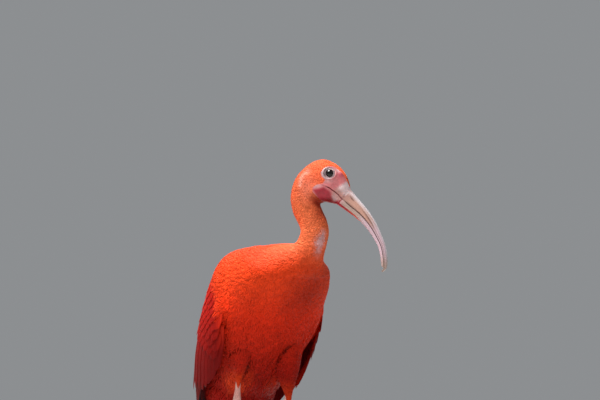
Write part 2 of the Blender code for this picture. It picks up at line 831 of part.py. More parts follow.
# Covert tiers of a wing: how many, arcs of the first and last, shares of the way from the front
# edge to the coverts' end line for roots and tips.
COVERT_TIERS = {
    "lesser": (4, (26, 88), (0.14, 0.44)),
    "median": (6, (23, 110), (0.33, 0.72)),
    "greater": (7, (20, 118), (0.54, 1.0)),
}
COVERT_HEIGHTS = (2.5, 7.2)
COVERT_HALF = 10.8
COVERT_TILT = 0.065
COVERT_END, COVERT_END_SLANT = 125.0, 0.15

# Secondaries and tertials: arc of the root, arc of the tip, distance of the tip down the wing.
SECONDARIES = [
    (121, 115, 150),
    (108, 101, 168),
    (94, 87, 184),
    (80, 72, 196),
    (66, 57, 205),
    (52, 42, 211),
    (38, 28, 213),
    (25, 14, 204),
]
SECONDARY_ROOT, SECONDARY_SLANT, SECONDARY_SLANT_FROM = 88.0, 0.12, 60.0
SECONDARY_HEIGHTS = (2.8, 5.2)
SECONDARY_HALF = 10.2
SECONDARY_TILT = 0.08
SECONDARY_BOW = 1.5
# Primaries, from the outermost in: arc of the root, arc of the tip, distance of the tip.
PRIMARIES = [(116, 43, 253), (109, 36, 264), (102, 28, 259), (94, 20, 243)]
PRIMARY_ROOT = 101.0
PRIMARY_HEIGHTS = (1.9, 1.4)
PRIMARY_HALF = 7.8
PRIMARY_TILT = 0.12
PRIMARY_BOW = 10.0
TIP_SPREAD = (1.5, 0.8)
WIDTH_SPREAD = 0.03


def wing_vanes(side, material):
    """Every large feather of one folded wing, tier over tier."""
    chance = random.Random("wing " + side)

    def place(down, arc, out):
        return mirrored(shell_point(down, arc, out), side)

    def vane(start, root_arc, stop, tip_arc, heights, shape, half, tilt, bow=0.0):
        stop += chance.uniform(-TIP_SPREAD[0], TIP_SPREAD[0])
        tip_arc += chance.uniform(-TIP_SPREAD[1], TIP_SPREAD[1])
        half *= 1 + chance.uniform(-WIDTH_SPREAD, WIDTH_SPREAD)
        root, tip = (start, root_arc, heights[0]), (stop, tip_arc, heights[1])
        return make_vane(place, root, tip, shape, half, material, tilt, bow)

    vanes = []
    for count, arcs, shares in COVERT_TIERS.values():
        for arc in steps(*arcs, count):
            front, end = WING_FRONT.at(arc)[0], COVERT_END + COVERT_END_SLANT * arc
            start, stop = (front + (end - front) * share for share in shares)
            vanes.append(vane(start, arc, stop, arc, COVERT_HEIGHTS, COVERT_SHAPE, COVERT_HALF, COVERT_TILT))
    for root_arc, tip_arc, stop in SECONDARIES:
        start = SECONDARY_ROOT + SECONDARY_SLANT * max(0, root_arc - SECONDARY_SLANT_FROM)
        ends = (start, root_arc, stop, tip_arc, SECONDARY_HEIGHTS)
        vanes.append(vane(*ends, FLIGHT_SHAPE, SECONDARY_HALF, SECONDARY_TILT, SECONDARY_BOW))
    for root_arc, tip_arc, stop in PRIMARIES:
        ends = (PRIMARY_ROOT, root_arc, stop, tip_arc, PRIMARY_HEIGHTS)
        vanes.append(vane(*ends, FLIGHT_SHAPE, PRIMARY_HALF, PRIMARY_TILT, PRIMARY_BOW))
    return vanes


def make_wing(side, material):
    wing = make_wing_core(side, material)
    combine(wing, wing_vanes(side, material))
    return wing


# Tail: flight feathers stacked on an arched sheet behind the trunk, between two rows of coverts.
TAIL_ARCH = 42.0
TAIL_LENGTH = 97.0
TAIL_LIFT = 7.0
TAIL_CORE = 44.0
TAIL_CORE_RINGS = 5
TAIL_CORE_COUNT = 15
TAIL_CORE_TAPER = 0.75
TAIL_BLADE = (17.0, 3.2)
TAIL_BLADE_SINK = 2.2
# Flight feathers: pairs, height step, root, offsets of root and tip, outer ones' shortness.
TAIL_PAIRS = 5
TAIL_STEP = 0.95
TAIL_ROOT = 27.0
TAIL_ROOT_OFFSETS = (1.5, 2.6)
TAIL_TIP_OFFSETS = (3.0, 5.6)
TAIL_ROUNDING = 0.9
TAIL_HALF = 8.0
# Coverts: root and tip behind the trunk, heights there, rise towards the middle.
TAIL_COVERTS = 4
TAIL_COVERT_ROWS = [(6, 60, 13.0, 2.6, 0.95), (5, 66, -21.0, -7.2, -0.95)]
TAIL_COVERT_OFFSETS = (9.0, 10.5)
TAIL_COVERT_HALF = 10.5
TAIL_COVERT_ROUNDING = 3.0
TAIL_BACK = np.array([0, TRUNK_ALONG[0], -TRUNK_ALONG[1]])
TAIL_OVER = np.array([0, TRUNK_DOWN[0], -TRUNK_DOWN[1]])
TAIL_START = np.mean(body_ring(TAIL_JOIN, BODY_COUNT), axis=0)


def tail_point(along, across, out):
    """A point of the tail: distance behind the trunk, to the left, and over the middle sheet."""
    rise = out + TAIL_LIFT - across * across / (2 * TAIL_ARCH)
    return TAIL_START + TAIL_BACK * along + TAIL_OVER * rise + np.array([across, 0, 0])


def make_tail_core(material):
    """The tail's root, from the trunk's end down to a flat blade."""
    base = body_ring(TAIL_JOIN, TAIL_CORE_COUNT)
    rings = [body_ring(TAIL_JOIN, TAIL_CORE_COUNT, slide=-GAP)]
    rises = [(point - TAIL_START) @ TAIL_OVER for point in base]
    widest, deepest = max(point[0] for point in base), max(rises)
    for share in steps(0, 1, TAIL_CORE_RINGS)[1:]:
        blend = share**TAIL_CORE_TAPER
        ring = []
        for point, rise in zip(base, rises):
            side, high = point[0] / widest * TAIL_BLADE[0], rise / deepest * TAIL_BLADE[1]
            flat = tail_point(TAIL_CORE * share, side, high - TAIL_BLADE_SINK)
            full = point + TAIL_BACK * TAIL_CORE * share
            ring.append(full * (1 - blend) + flat * blend)
        rings.append(ring)
    return loft("tail", rings, material)


def tail_vanes(material):
    """Flight feathers, the middle pair on top, and the coverts over and under them."""
    chance = random.Random("tail")
    vanes = []

    def vane(root, tip, shape, half_width):
        tip = (tip[0] + chance.uniform(-TIP_SPREAD[0], TIP_SPREAD[0]), tip[1], tip[2])
        vanes.append(make_vane(tail_point, root, tip, shape, half_width, material))

    for pair in range(TAIL_PAIRS):
        for way in (-1, 1):
            level = -TAIL_STEP * (pair + 1 if pair else (1 + way) / 2)
            aside = way * (TAIL_ROOT_OFFSETS[0] + TAIL_ROOT_OFFSETS[1] * pair)
            spread = way * (TAIL_TIP_OFFSETS[0] + TAIL_TIP_OFFSETS[1] * pair)
            end = TAIL_LENGTH - TAIL_ROUNDING * pair**1.5
            vane((TAIL_ROOT, aside, level), (end, spread, level), FLIGHT_SHAPE, TAIL_HALF)
    for start, end, low, high, rise in TAIL_COVERT_ROWS:
        for k in range(TAIL_COVERTS):
            offset = k - (TAIL_COVERTS - 1) / 2
            level = rise * (-abs(offset) + (0.4 if offset > 0 else 0))
            root = (start, offset * TAIL_COVERT_OFFSETS[0], low + 2.2 * level)
            tip = (end - TAIL_COVERT_ROUNDING * abs(offset), offset * TAIL_COVERT_OFFSETS[1], high + level)
            vane(root, tip, COVERT_SHAPE, TAIL_COVERT_HALF)
    return vanes


def make_tail(material):
    tail = make_tail_core(material)
    combine(tail, tail_vanes(material))
    return tail


def make_all():
    scarlet = make_material("scarlet feathers", (0.80, 0.05, 0.012), 0.55)
    skin = make_material("bare face", (0.75, 0.16, 0.13), 0.5)
    horn = make_material("bill horn", (0.62, 0.36, 0.28), 0.38)
    pink = make_material("leg skin", (0.78, 0.36, 0.28), 0.5)
    black = make_material("eye", (0.012, 0.008, 0.008), 0.08)
    claw = make_material("claw horn", (0.08, 0.05, 0.04), 0.35)
    make_torso(scarlet)
    make_neck("neck_lower", NECK_JOIN, NECK_MIDDLE, scarlet)
    make_neck("neck_upper", NECK_MIDDLE, HEAD_JOIN, scarlet)
    make_head(skin)
    make_eyes(black)
    make_bill(horn)
    for side in ("left", "right"):
        make_thigh(side, make_torso(scarlet, "grown", GAP), scarlet)
        make_leg(side, pink)
        make_foot(side, pink)
        for name in TOES:
            make_claw(side, name, claw)
        make_wing(side, scarlet)
    make_tail(scarlet)


def centre_on_floor():
    """Hangs every piece on one empty, set so that the box's bottom centre is the origin."""
    bpy.context.view_layer.update()
    pieces = [thing for thing in bpy.data.objects if thing.type == "MESH"]
    corners = np.array([thing.matrix_world @ Vector(c) for thing in pieces for c in thing.bound_box])
    low, high = corners.min(axis=0), corners.max(axis=0)
    root = bpy.data.objects.new("ibis", None)
    bpy.context.scene.collection.objects.link(root)
    for thing in pieces:
        thing.parent = root
    root.location = (-(low[0] + high[0]) / 2, -(low[1] + high[1]) / 2, 0)


clear_scene()
make_all()
centre_on_floor()
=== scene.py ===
"""The looks of a still, life-size scarlet ibis, built round its solid model.

Sizes are in millimetres in the bird's own frame: it faces -Y, its left side is +X and
the floor is at z = 0. Places in its middle plane are (forward, up) pairs.
"""

import math

import bmesh
import bpy
import numpy as np
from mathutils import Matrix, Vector
from mathutils.bvhtree import BVHTree

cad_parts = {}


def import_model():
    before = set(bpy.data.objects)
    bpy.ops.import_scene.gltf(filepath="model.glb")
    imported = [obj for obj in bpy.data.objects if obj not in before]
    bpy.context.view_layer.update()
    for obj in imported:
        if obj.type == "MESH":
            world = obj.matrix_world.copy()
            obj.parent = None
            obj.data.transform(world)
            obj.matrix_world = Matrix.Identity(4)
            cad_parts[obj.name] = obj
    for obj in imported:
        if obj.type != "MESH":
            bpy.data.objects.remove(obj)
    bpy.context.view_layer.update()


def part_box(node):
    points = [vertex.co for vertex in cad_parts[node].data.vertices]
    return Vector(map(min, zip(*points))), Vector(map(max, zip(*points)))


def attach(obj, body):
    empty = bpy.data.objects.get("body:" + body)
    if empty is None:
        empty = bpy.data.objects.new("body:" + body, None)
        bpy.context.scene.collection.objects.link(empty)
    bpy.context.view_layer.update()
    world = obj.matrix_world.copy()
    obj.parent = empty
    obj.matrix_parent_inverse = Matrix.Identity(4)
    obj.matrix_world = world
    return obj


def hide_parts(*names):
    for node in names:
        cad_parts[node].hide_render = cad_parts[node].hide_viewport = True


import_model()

MM = 0.001

# The trunk is a run of rings across a straight axis that climbs steeply forward.
TRUNK_CLIMB = math.radians(60)
TRUNK_MIDDLE = np.array([5.0, 208.0])
TRUNK_ALONG = np.array([math.cos(TRUNK_CLIMB), math.sin(TRUNK_CLIMB)])
TRUNK_DOWN = np.array([math.sin(TRUNK_CLIMB), -math.cos(TRUNK_CLIMB)])
# Place along the axis, depth to the back, depth to the belly, half width, squareness.
TRUNK_ROWS = [
    (-114, 39, 17, 40.5, 2.1),
    (-98, 43, 29, 46.5, 2.2),
    (-80, 45.5, 35, 51, 2.3),
    (-55, 47.5, 39, 57, 2.5),
    (-28, 49, 44, 63.5, 2.8),
    (0, 49, 47, 66.5, 2.9),
    (25, 45, 51, 66, 2.8),
    (50, 35, 58, 61.5, 2.7),
    (70, 21, 64, 52.5, 2.6),
]
# Upper breast: back point, breast point, half width, squareness, turn to the left in degrees.
BREAST_ROWS = [
    ((48, 284), (103, 235), 43, 2.5, 0),
    ((64, 284.5), (108, 240), 33, 2.3, 3),
    ((76, 281), (112, 247), 25, 2.1, 9),
]
# The neck and head turn about an upright axis this far forward of the trunk's middle.
TURN_AXIS = 76.0
# Neck: distance before the turn axis, height, climb in degrees, half depth, half width, turn.
NECK_ROWS = [
    (25.0, 271, 68, 18.7, 18.5, 20),
    (28.3, 283.5, 82, 18.0, 17.5, 27),
    (29.1, 293.5, 93, 17.3, 17.0, 32),
    (26.5, 303, 105, 17.0, 16.5, 35),
    (20.5, 314, 111, 16.9, 16.2, 39),
    (16.5, 322.5, 106, 17.4, 16.5, 42),
]
# Head: crown point and chin point before the turn axis, half width, squareness, how much
# wider the upper half is.
HEAD_TURN = 47.0
HEAD_ROWS = [
    ((-3.6, 334), (35.0, 329.0), 16.6, 2.0, 0.02),
    ((-2.2, 346), (38.2, 329.6), 16.6, 2.0, 0.06),
    ((2.6, 358.8), (40.5, 329.5), 16.6, 2.0, 0.10),
    ((9.5, 367.6), (43.0, 329.0), 16.8, 2.1, 0.13),
    ((20.0, 376.0), (45.2, 328.5), 17.0, 2.1, 0.15),
    ((29.5, 380.4), (47.2, 328.1), 17.0, 2.1, 0.16),
    ((38.6, 381.3), (48.8, 327.7), 16.6, 2.1, 0.17),
    ((49.5, 377.2), (50.4, 327.3), 15.6, 2.1, 0.16),
    ((58.6, 370.6), (51.8, 327.0), 13.6, 2.1, 0.12),
    ((66.4, 359.4), (53.0, 326.8), 11.4, 2.1, 0.06),
    ((70.8, 343.8), (54.1, 326.5), 9.4, 2.1, 0.02),
]
# Bill: culmen point, lower point, half width, share of the depth above the mouth line.
BILL_ROWS = [
    ((70.8, 343.8), (54.1, 326.5), 9.0, 0.60),
    ((82.2, 330.5), (67.8, 316.6), 6.9, 0.60),
    ((90.6, 320.7), (78.0, 309.4), 5.7, 0.59),
    ((100.7, 306.0), (89.6, 297.9), 4.8, 0.58),
    ((109.3, 287.9), (99.9, 283.2), 4.1, 0.57),
    ((113.5, 276.8), (104.7, 273.7), 3.8, 0.55),
    ((115.5, 263.4), (107.4, 262.1), 3.6, 0.53),
    ((115.9, 254.4), (108.3, 254.2), 3.2, 0.54),
    ((114.6, 248.0), (109.0, 248.4), 2.5, 0.56),
]
EYE_RADIUS = 6.3
EYE_AHEAD = 48.2
EYE_HEIGHT = 363.0
EYE_ACROSS = 9.9
# The line of the mouth past the bill, from the bill's root back.
GAPE_POINTS = [
    (64.0, 330.2), (60.8, 333.6), (58.0, 337.2), (53.4, 341.4), (48.5, 344.9), (43.3, 347.4), (38.8, 348.9),
]


class Track:
    """Smooth values between rows that each start with their place along the run."""

    def __init__(self, rows):
        table = np.array(rows, float)
        self.places = table[:, 0]
        self.values = table[:, 1:]
        self.slopes = np.gradient(self.values, self.places, axis=0)

    def at(self, place):
        place = np.asarray(place, float)
        row = np.clip(np.searchsorted(self.places, place) - 1, 0, len(self.places) - 2)
        span = (self.places[row + 1] - self.places[row])[..., None]
        k = (place - self.places[row])[..., None] / span
        start, end = self.values[row], self.values[row + 1]
        leave, arrive = self.slopes[row] * span, self.slopes[row + 1] * span
        return (
            (2 * k**3 - 3 * k**2 + 1) * start
            + (k**3 - 2 * k**2 + k) * leave
            + (3 * k**2 - 2 * k**3) * end
            + (k**3 - k**2) * arrive
        )

    def within(self, place):
        """The first value, with places past either end taken as that end."""
        return self.at(np.clip(place, self.places[0], self.places[-1]))[..., 0]


def with_places(rows):
    """Rows of (top forward, top up, bottom forward, bottom up, ...), each led by its place."""
    placed = []
    place, before = 0.0, None
    for row in rows:
        middle = (np.array(row[0:2]) + np.array(row[2:4])) / 2
        if before is not None:
            place += float(np.linalg.norm(middle - before))
        placed.append((place, *row))
        before = middle
    return placed


def body_rows():
    """Every ring of trunk, neck and head: top, bottom, half width, squareness, high, turn."""
    rows = []
    for along, back, belly, width, square in TRUNK_ROWS:
        middle = TRUNK_MIDDLE + TRUNK_ALONG * along
        rows.append((*(middle - TRUNK_DOWN * back), *(middle + TRUNK_DOWN * belly), width, square, 0, 0))
    for top, bottom, width, square, turn in BREAST_ROWS:
        rows.append((*top, *bottom, width, square, 0, turn))
    for ahead, height, climb, depth, width, turn in NECK_ROWS:
        tilt = math.radians(climb)
        middle = np.array([TURN_AXIS + ahead, height])
        up = np.array([-math.sin(tilt), math.cos(tilt)])
        rows.append((*(middle + up * depth), *(middle - up * depth), width, 2.0, 0, turn))
    for crown, chin, width, square, high in HEAD_ROWS:
        top, bottom = (TURN_AXIS + crown[0], crown[1]), (TURN_AXIS + chin[0], chin[1])
        rows.append((*top, *bottom, width, square, high, HEAD_TURN))
    return with_places(rows)


BODY_TABLE = body_rows()
BODY = Track(BODY_TABLE)
NECK_JOIN = BODY_TABLE[len(TRUNK_ROWS) + len(BREAST_ROWS) - 1][0]
HEAD_JOIN = BODY_TABLE[-len(HEAD_ROWS)][0]
BILL_JOIN = BODY_TABLE[-1][0]
BILL_TABLE = with_places([(*top, *low, width, share) for top, low, width, share in BILL_ROWS])
BILL = Track(BILL_TABLE)
BILL_END = BILL_TABLE[-1][0]


def smooth(value, low=0.0, high=1.0):
    """0 below low, 1 above high and a soft step between."""
    k = np.clip((np.asarray(value, float) - low) / (high - low), 0, 1)
    return k * k * (3 - 2 * k)


def bump(value, width):
    """1 at 0, falling off smoothly to either side."""
    return np.exp(-((value / width) ** 2))


def power(value, square):
    """Cosine or sine of a squared-off oval."""
    return np.sign(value) * np.abs(value) ** (2 / square)


def world(ahead, height, across, turn):
    """Points (ahead of the turn axis, height, across to the left) after the turn."""
    angle = np.radians(turn)
    ahead, height, across, angle = np.broadcast_arrays(ahead, height, across, angle)
    x = ahead * np.sin(angle) + across * np.cos(angle)
    y = -TURN_AXIS - ahead * np.cos(angle) + across * np.sin(angle)
    return np.stack([x, y, height], -1).astype(float)


def head_place(points):
    """(ahead of the turn axis, height, across to the left) of points near the turned head."""
    turn = math.radians(HEAD_TURN)
    x, y = points[..., 0], points[..., 1] + TURN_AXIS
    ahead = x * math.sin(turn) - y * math.cos(turn)
    return ahead, points[..., 2], x * math.cos(turn) + y * math.sin(turn)


EYE_CENTRE = world(EYE_AHEAD, EYE_HEIGHT, EYE_ACROSS, HEAD_TURN)
SHIFT = np.mean([tuple(corner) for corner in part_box("eye_left")], axis=0) - EYE_CENTRE * MM


# Surfaces that skin and feathers are laid on

TAIL_ARCH = 42.0
TAIL_LENGTH = 97.0
TAIL_LIFT = 7.0
TAIL_CORE = 44.0
TAIL_CORE_TAPER = 0.75
VENT_TAPER = 2.0
TAIL_BLADE = (17.0, 3.2)
TAIL_BLADE_SINK = 2.2
TAIL_BACK = np.array([0, TRUNK_ALONG[0], -TRUNK_ALONG[1]])
TAIL_OVER = np.array([0, TRUNK_DOWN[0], -TRUNK_DOWN[1]])
BILL_COVER = [(0.7, 0.17), (1.4, 0.14), (2.1, 0.09), (2.6, 0.02), (2.9, -0.12), (3.1, -0.6)]
RING_SAMPLES = 1441


def body_points(place, angle):
    """Points of the body: angle 0 is the back, a quarter turn its left."""
    rows = BODY.at(place)
    top, low = rows[..., 0:2], rows[..., 2:4]
    width, square, high, turn = (rows[..., k] for k in range(4, 8))
    middle, up = (top + low) / 2, (top - low) / 2
    rise = power(np.cos(angle), square)[..., None] * up
    across = power(np.sin(angle), square) * width * (1 + high * np.cos(angle))
    point = middle + rise
    return world(point[..., 0] - TURN_AXIS, point[..., 1], across, turn)


TAIL_START = body_points(0.0, np.arange(30) * math.tau / 30).mean(axis=0)


def tail_points(along, across, out):
    """Points of the tail: distance behind the trunk, to the left, and over the middle sheet."""
    along, across, out = np.broadcast_arrays(along, across, out)
    rise = out + TAIL_LIFT - across * across / (2 * TAIL_ARCH)
    side = across[..., None] * np.array([1, 0, 0])
    return TAIL_START + along[..., None] * TAIL_BACK + rise[..., None] * TAIL_OVER + side


def tail_root_ring(share, angles, taper):
    """A ring of the tail's root, which flattens from the trunk's end to a blade."""
    base = body_points(0.0, angles)
    rises = (base - TAIL_START) @ TAIL_OVER
    side = base[:, 0] / base[:, 0].max() * TAIL_BLADE[0]
    flat = tail_points(TAIL_CORE * share, side, rises / rises.max() * TAIL_BLADE[1] - TAIL_BLADE_SINK)
    blend = share**taper
    return (base + TAIL_BACK * TAIL_CORE * share) * (1 - blend) + flat * blend


def bill_frame(place):
    """Mouth-line point, up and forward in the head's plane, depths above and below, half width."""
    rows = BILL.at(place)
    top, low = rows[..., 0:2], rows[..., 2:4]
    depth = np.linalg.norm(top - low, axis=-1)
    up = (top - low) / depth[..., None]
    share = rows[..., 5]
    mouth = top - up * (depth * share)[..., None]
    forward = np.stack([up[..., 1], -up[..., 0]], -1)
    return mouth, up, forward, depth * share, depth * (1 - share), rows[..., 4]


def bill_cover_ring(place, grow, angles):
    """Skin that runs a little way over the bill's root and sinks into it."""
    mouth, up, _, above, below, width = bill_frame(place)
    cosine = np.cos(angles)
    rise = power(cosine, BILL_SQUARE) * (np.where(cosine > 0, above, below) + grow)
    point = mouth + up * rise[:, None]
    return world(point[:, 0], point[:, 1], power(np.sin(angles), BILL_SQUARE) * (width + grow), HEAD_TURN)


def even_ring(ring, count):
    """count points spaced evenly round a closed ring of many."""
    arcs = np.concatenate([[0], np.cumsum(np.linalg.norm(np.diff(ring, axis=0), axis=1))])
    wanted = np.arange(count) / count * arcs[-1]
    return np.stack([np.interp(wanted, arcs, ring[:, k]) for k in range(3)], 1)


class Surface:
    """A grid of points that can be read anywhere: u runs down its rows, v from 0 to 1 across."""

    def __init__(self, rows, points, closed, centres):
        self.rows, self.points, self.closed = np.asarray(rows, float), points, closed
        down = np.gradient(points, self.rows, axis=0)
        if closed:
            wrapped = np.concatenate([points[:, -1:], points, points[:, :1]], axis=1)
            beside = np.gradient(wrapped, axis=1)[:, 1:-1]
        else:
            beside = np.gradient(points, axis=1)
        normals = np.cross(down, beside)
        normals /= np.linalg.norm(normals, axis=2, keepdims=True) + 1e-9
        if np.sum(normals * (points - centres[:, None])) < 0:
            normals = -normals
        self.normals = normals
        steps = np.linalg.norm(np.diff(points, axis=0), axis=2)
        self.lengths = np.concatenate([np.zeros((1, points.shape[1])), np.cumsum(steps, axis=0)])
        spans = points.shape[1] - (0 if closed else 1)
        self.stretch = np.stack([np.linalg.norm(down, axis=2), np.linalg.norm(beside, axis=2) * spans], 2)

    def read(self, grid, u, v):
        """grid's values between its points, carried on in a straight line past the ends."""
        last = len(self.rows) - 1
        at = np.interp(u, self.rows, np.arange(last + 1))
        at = at + np.maximum(u - self.rows[-1], 0) / (self.rows[-1] - self.rows[-2])
        at = at - np.maximum(self.rows[0] - u, 0) / (self.rows[1] - self.rows[0])
        i = np.clip(np.floor(at).astype(int), 0, last - 1)
        count = grid.shape[1]
        if self.closed:
            place = np.mod(v, 1.0) * count
            k = np.floor(place).astype(int) % count
            beside = (k + 1) % count
            t = place - np.floor(place)
        else:
            place = np.asarray(v, float) * (count - 1)
            k = np.clip(np.floor(place).astype(int), 0, count - 2)
            beside = k + 1
            t = place - k
        s, t = (at - i)[..., None], t[..., None]
        near = grid[i, k] * (1 - t) + grid[i, beside] * t
        far = grid[i + 1, k] * (1 - t) + grid[i + 1, beside] * t
        return near * (1 - s) + far * s

    def at(self, u, v, out=0.0):
        u, v, out = np.broadcast_arrays(u, v, out)
        normals = self.read(self.normals, u, v)
        normals = normals / (np.linalg.norm(normals, axis=-1, keepdims=True) + 1e-9)
        return self.read(self.points, u, v) + normals * out[..., None]

    def walk(self, u, v, along):
        """Where u comes to after walks of some lengths down its own column."""
        count = self.points.shape[1]
        if self.closed:
            column = np.round(np.mod(v, 1.0) * count).astype(int) % count
        else:
            column = np.clip(np.round(v * (count - 1)).astype(int), 0, count - 1)
        reached = np.empty(along.shape)
        for k in np.unique(column):
            chosen, arcs = column == k, self.lengths[:, k]
            wanted = np.interp(u[chosen], self.rows, arcs)[:, None, None] + along[chosen]
            before = (self.rows[1] - self.rows[0]) / (arcs[1] - arcs[0])
            after = (self.rows[-1] - self.rows[-2]) / (arcs[-1] - arcs[-2])
            past = np.minimum(wanted - arcs[0], 0) * before + np.maximum(wanted - arcs[-1], 0) * after
            reached[chosen] = np.interp(wanted, arcs, self.rows) + past
        return reached

    def map_place(self, u, v):
        """Where a point lies on the surface's own unwrap, a square of rows and columns."""
        at = np.interp(u, self.rows, np.arange(len(self.rows))) / (len(self.rows) - 1)
        across = np.mod(v, 1.0) if self.closed else np.clip(v, 0, 1)
        return np.stack([across, at], -1)


# Forms of the head: ahead, height, reach ahead, reach up, rise.
HEAD_FORMS = [
    (24.5, 357.0, 9.0, 8.0, 1.0),
    (37.0, 341.0, 8.5, 5.5, 0.9),
    (57.5, 351.5, 6.0, 7.0, -0.9),
    (50.0, 373.5, 9.0, 3.2, 0.55),
    (61.8, 363.4, 3.2, 3.0, 0.7),
    (45.0, 351.5, 8.0, 2.4, -0.4),
]
BODY_COLUMNS = 200
TAIL_RINGS, TRUNK_RINGS, NECK_RINGS, HEAD_RINGS = 22, 96, 76, 140


def make_body_surface(taper):
    """The outer surface from the tail's root to the bill, with the forms of the head."""
    rows = list(np.linspace(-TAIL_CORE, 0, TAIL_RINGS, endpoint=False))
    rows += list(np.linspace(0, NECK_JOIN, TRUNK_RINGS, endpoint=False))
    rows += list(np.linspace(NECK_JOIN, HEAD_JOIN, NECK_RINGS, endpoint=False))
    rows += list(np.linspace(HEAD_JOIN, BILL_JOIN, HEAD_RINGS))
    angles = np.linspace(0, math.tau, RING_SAMPLES)
    rings = []
    for row in rows:
        ring = tail_root_ring(-row / TAIL_CORE, angles, taper) if row < 0 else body_points(row, angles)
        rings.append(even_ring(ring, BODY_COLUMNS))
    for place, grow in BILL_COVER:
        rows.append(BILL_JOIN + place)
        rings.append(even_ring(bill_cover_ring(place, grow, angles), BODY_COLUMNS))
    points = np.array(rings)
    joint = slice(TAIL_RINGS + TRUNK_RINGS - 14, TAIL_RINGS + TRUNK_RINGS + 30)
    for _ in range(JOINT_SMOOTHING):
        joined = points[joint]
        points[joint][1:-1] = (joined[:-2] + 2 * joined[1:-1] + joined[2:]) / 4
    plain = Surface(rows, points, True, points.mean(axis=1))
    ahead, height, across = head_place(points)
    rise = np.zeros(ahead.shape)
    for a, z, reach_a, reach_z, amount in HEAD_FORMS:
        rise += amount * bump(ahead - a, reach_a) * bump(height - z, reach_z)
    rise *= smooth(np.abs(across), 4, 9) * smooth(plain.rows, HEAD_JOIN - 6, HEAD_JOIN)[:, None]
    points = points + plain.normals * np.minimum(rise, HEAD_FORM_LIMIT)[..., None]
    return Surface(rows, points, True, points.mean(axis=1))


HEAD_FORM_LIMIT = 1.2
JOINT_SMOOTHING = 120
BILL_SQUARE = 2.2


# Colours, as linear red, green and blue

SCARLET = np.array([0.74, 0.026, 0.0045])
BREAST_ORANGE = np.array([0.84, 0.066, 0.011])
LOW_PAINTED_SHADE_RED = np.array([0.31, 0.0068, 0.0030])
NECK_ORANGE = np.array([0.85, 0.165, 0.060])
CROWN_ORANGE = np.array([0.88, 0.130, 0.044])
THROAT_PAINTED_SHADOW = np.array([0.26, 0.008, 0.005])
WING_RED = np.array([0.40, 0.0085, 0.0036])
WING_PAINTED_SHADE = np.array([0.14, 0.0013, 0.0009])
WORN_LILAC = np.array([0.70, 0.42, 0.44])
EAR_HIGHLIGHT = np.array([0.92, 0.46, 0.36])
UNDERSIDE_LIT_SCARLET = np.array([0.84, 0.030, 0.010])
TIP_BLACK = np.array([0.005, 0.003, 0.004])
ROSE = np.array([0.72, 0.21, 0.22])
STRONG_ROSE = np.array([0.74, 0.105, 0.15])
RING_PALE = np.array([0.56, 0.39, 0.40])
RING_SHADE_GREY = np.array([0.32, 0.18, 0.19])
CRIMSON = np.array([0.43, 0.015, 0.034])
DEEP_CRIMSON = np.array([0.17, 0.0028, 0.0045])
JAW_PALE = np.array([0.74, 0.42, 0.42])
GAPE_RED = np.array([0.16, 0.006, 0.010])
BASE_PINK = np.array([0.88, 0.66, 0.67])
BASE_SALMON = np.array([0.54, 0.27, 0.235])

# The edge of the bare face in the head's plane, from the forehead back round the eye and
# under the jaw to the throat, then ahead past the bill.
FACE_EDGE = [
    (76.0, 345.5), (72.0, 358.0), (64.0, 368.6), (57.4, 370.6), (52.3, 371.5), (46.8, 371.3),
    (41.3, 368.6), (38.0, 363.9), (39.2, 358.8), (43.6, 354.9), (40.5, 350.6), (33.0, 349.4),
    (28.0, 345.6), (27.6, 341.0), (33.5, 334.5), (38.5, 329.0), (41.0, 322.0), (80.0, 322.0),
]
# Feathers run down the middle of the forehead: height, half width of their strip.
FOREHEAD_STRIP = [(344, -3.0), (348, 2.5), (354, 5.0), (362, 7.0), (370, 9.5), (376, 14.0)]
# The bill's pale root begins across this line, and the crimson jaw fills this patch.
BILL_LINE = ((67.7, 353.4), (54.3, 342.9))
JAW_PATCH = [
    (28.5, 343.5), (35.0, 345.0), (41.0, 346.2), (47.5, 342.0), (50.0, 338.0), (49.5, 331.0),
    (45.0, 325.0), (36.0, 327.0),
]
# A painted highlight on the ear coverts' bulge behind the eye, along this arc.
EAR_HIGHLIGHT_ARC = [(14.3, 354.0), (15.8, 360.5), (20.0, 365.8), (25.0, 367.6)]
# A painted shadow of the head and neck, deeper red on the left of the breast.
PAINTED_SHADOW_PLACE, PAINTED_SHADOW_REACH = np.array([22.0, -98.0, 218.0]), np.array([33.0, 40.0, 44.0])
PAINTED_SHADOW_RED = np.array([0.16, 0.0036, 0.0020])
# Worn spots of the neck: place, reach, strength.
WORN_SPOTS = [
    ((16.3, -118.6, 287.8), (4.8, 5.5, 6.0), 1.5),
    ((19.0, -117.0, 296.5), (3.4, 5.0, 5.5), 0.8),
    ((15.5, -117.5, 277.5), (4.0, 5.0, 6.5), 0.5),
]


def mix(first, second, amount):
    """first, and more of second the larger the amount is."""
    amount = np.asarray(amount, float)[..., None]
    return first * (1 - amount) + second * amount


def edge_distance(ahead, height, outline, loop=True):
    """Distance from places in the head's plane to an outline, positive inside a closed one."""
    corners = np.array(outline, float)
    ends = np.roll(corners, -1, axis=0)
    if not loop:
        corners, ends = corners[:-1], ends[:-1]
    place = np.stack([ahead, height], -1)
    nearest = np.full(ahead.shape, 1e9)
    inside = np.zeros(ahead.shape, bool)
    for a, b in zip(corners, ends):
        run = b - a
        k = np.clip(((place - a) @ run) / (run @ run), 0, 1)
        nearest = np.minimum(nearest, np.linalg.norm(place - a - k[..., None] * run, axis=-1))
        crossed = (a[1] > height) != (b[1] > height)
        slope = run[0] / run[1] if run[1] else 0.0
        inside ^= crossed & (ahead < a[0] + (height - a[1]) * slope)
    return np.where(inside, nearest, -nearest) if loop else nearest


def in_head(points):
    """1 on the head and its bill's root, 0 on the neck and the body."""
    ahead, height, across = head_place(points)
    low_edge = 326.0 - 0.25 * (ahead - 40)
    return smooth(height, low_edge - 2, low_edge) * (np.abs(across) < 25) * (ahead > -15)


